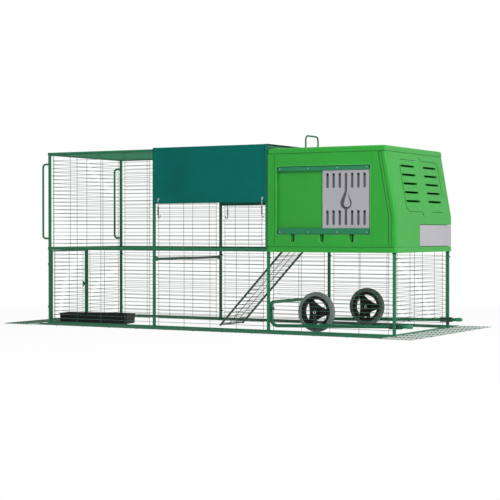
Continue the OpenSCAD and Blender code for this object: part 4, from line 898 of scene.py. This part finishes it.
# Dark plates at the backs of the notches, on their right-hand part only: painted shade
notch_painted_shade = []
for x in NOTCH_XS:
    outline = [(x + NOTCH_EDGE, NOTCH_TOP), (x + NOTCH_LEFT, NOTCH_TOP)]
    for a in HALF_TURN:
        outline.append((x + max(NOTCH_LEFT, NOTCH_EDGE * math.cos(a)), NOTCH_MID + NOTCH_EDGE * math.sin(a)))
    notch_painted_shade.append(plate(outline, NOTCH_Y))
sweeps("notch_painted_shade", notch_painted_shade, M["groove"], "frame", "coop_plastic")
PORT_BODY = body_of_node("port_door")
sweeps("port_groove_backs", backs, M["groove_grey"], PORT_BODY, "grey_plastic")
sweeps("port_hole_painted_shade", hole_shades, M["black_plastic"], PORT_BODY, "black_plastic")

# Black rings on the tail legs, close under the base: painted shade where the base overhangs the legs

LEG_SHADE = ((0.5740, 0.0136), (0.5752, 0.0150), (0.5900, 0.0150), (0.5912, 0.0136))
leg_shades = [tube([(X3, y, z) for z, _ in LEG_SHADE], [r for _, r in LEG_SHADE], 24) for y in (Y0, Y1)]
sweeps("leg_top_shade", leg_shades, M["black_plastic"], "frame", "black_plastic")

# Wheel bolts: a bright ring round the dark head, and one on the inner side

BOLT_Y, WASHER_Y, BOLT_RING_R, BOLT_RING_WIRE = 0.4612, 0.4040, 0.0092, 0.0022
for s, tag in ((-1, "near"), (1, "far")):
    rims = [
        tube(ring(AXLE_X, s * y, AXLE_Z, BOLT_RING_R), BOLT_RING_WIRE, 10, True) for y in (BOLT_Y, WASHER_Y)
    ]
    sweeps(f"axle_ring_{tag}", rims, M["bare_steel"], "frame", "bare_steel")

# Floor, light and camera

def seen_directly(tree):
    """One for what the camera, a gloss or a clear piece sees, and nothing for what only lights."""
    rays = tree.nodes.new("ShaderNodeLightPath")
    total = rays.outputs["Is Camera Ray"]
    for kind in ("Is Glossy Ray", "Is Transmission Ray"):
        top = tree.nodes.new("ShaderNodeMath")
        top.operation = "MAXIMUM"
        tree.links.new(total, top.inputs[0])
        tree.links.new(rays.outputs[kind], top.inputs[1])
        total = top.outputs[0]
    return total


FLOOR_HALF, FLOOR_DOWN, FLOOR_SHADE = 60, -0.0008, 0.90
SHADE_NEAR, SHADE_FAR, SHADE_SHARE = 2.0, 4.5, 0.06
SKY_FILL = 0.13

# The floor is seen as white; near the object it keeps a share of the shadows
corners = [(sx * FLOOR_HALF, sy * FLOOR_HALF, 0) for sx, sy in ((-1, -1), (1, -1), (1, 1), (-1, 1))]
floor_mesh = bpy.data.meshes.new("floor")
floor_mesh.from_pydata(corners, [], [(0, 1, 2, 3)])
floor = bpy.data.objects.new("floor", floor_mesh)
scene.collection.objects.link(floor)
floor.location.z = FLOOR_DOWN
fm = bpy.data.materials.new("Floor")
fm.use_nodes = True
nt = fm.node_tree
nt.nodes.clear()
out = nt.nodes.new("ShaderNodeOutputMaterial")
diff = nt.nodes.new("ShaderNodeBsdfDiffuse")
diff.inputs[0].default_value = grey(FLOOR_SHADE)
glow = nt.nodes.new("ShaderNodeEmission")
glow.inputs[0].default_value = grey(1)
reach = nt.nodes.new("ShaderNodeVectorMath")
reach.operation = "LENGTH"
nt.links.new(coords(nt), reach.inputs[0])
fade = nt.nodes.new("ShaderNodeMapRange")
fade.inputs["From Min"].default_value = SHADE_NEAR
fade.inputs["From Max"].default_value = SHADE_FAR
fade.inputs["To Min"].default_value = 1 - SHADE_SHARE
fade.inputs["To Max"].default_value = 1.0
nt.links.new(reach.outputs["Value"], fade.inputs["Value"])
share = nt.nodes.new("ShaderNodeMath")
share.operation = "MULTIPLY"
nt.links.new(seen_directly(nt), share.inputs[0])
nt.links.new(fade.outputs[0], share.inputs[1])
mixs = nt.nodes.new("ShaderNodeMixShader")
nt.links.new(share.outputs[0], mixs.inputs[0])
nt.links.new(diff.outputs[0], mixs.inputs[1])
nt.links.new(glow.outputs[0], mixs.inputs[2])
nt.links.new(mixs.outputs[0], out.inputs[0])
floor_mesh.materials.append(fm)

# The world is seen as white and lights the object softly
world = bpy.data.worlds.new("Studio")
scene.world = world
world.use_nodes = True
wt = world.node_tree
wt.nodes.clear()
wout = wt.nodes.new("ShaderNodeOutputWorld")
soft = wt.nodes.new("ShaderNodeBackground")
soft.inputs[0].default_value = grey(1)
soft.inputs[1].default_value = SKY_FILL
white = wt.nodes.new("ShaderNodeBackground")
white.inputs[0].default_value = grey(1)
white.inputs[1].default_value = 1.0
wmix = wt.nodes.new("ShaderNodeMixShader")
wt.links.new(seen_directly(wt), wmix.inputs[0])
wt.links.new(soft.outputs[0], wmix.inputs[1])
wt.links.new(white.outputs[0], wmix.inputs[2])
wt.links.new(wmix.outputs[0], wout.inputs[0])


def lamp(name, loc, target, size, power):
    """Soft rectangle of light; only the key lamp shows in gloss."""
    d = bpy.data.lights.new(name, "AREA")
    d.shape = "RECTANGLE"
    d.size, d.size_y = size
    d.energy = power
    o = bpy.data.objects.new(name, d)
    scene.collection.objects.link(o)
    o.location = loc
    o.rotation_euler = (Vector(target) - Vector(loc)).to_track_quat("-Z", "Y").to_euler()
    o.visible_camera = False
    o.visible_glossy = name == "key"


lamp("key", (4.4, -3.6, 3.8), (1.0, -0.3, 0.8), (1.3, 1.3), 206)
lamp("tail", (5.8, 0.6, 1.7), (1.4, 0, 0.8), (2.4, 2.0), 84)
lamp("left", (-2.2, -4.4, 2.2), (-0.4, -0.4, 0.7), (3.6, 1.8), 36)
lamp("top", (0.3, -1.2, 4.8), (0.5, -0.1, 0.9), (3.6, 2.4), 46)

scene.view_settings.view_transform = "Standard"
LENS, SENSOR = 101.56, 36.0
EYE_AT, LOOK_DOWN, LOOK_ROUND = (5.4956, -9.4929, 0.7304), 0.0131, 0.5199
cam_data = bpy.data.cameras.new("camera")
cam_data.lens = LENS
cam_data.sensor_width = SENSOR
cam_data.clip_end = 200
cam = bpy.data.objects.new("camera", cam_data)
scene.collection.objects.link(cam)
cam.location = EYE_AT
cam.rotation_euler = (math.pi / 2 - LOOK_DOWN, 0, LOOK_ROUND)
scene.camera = cam
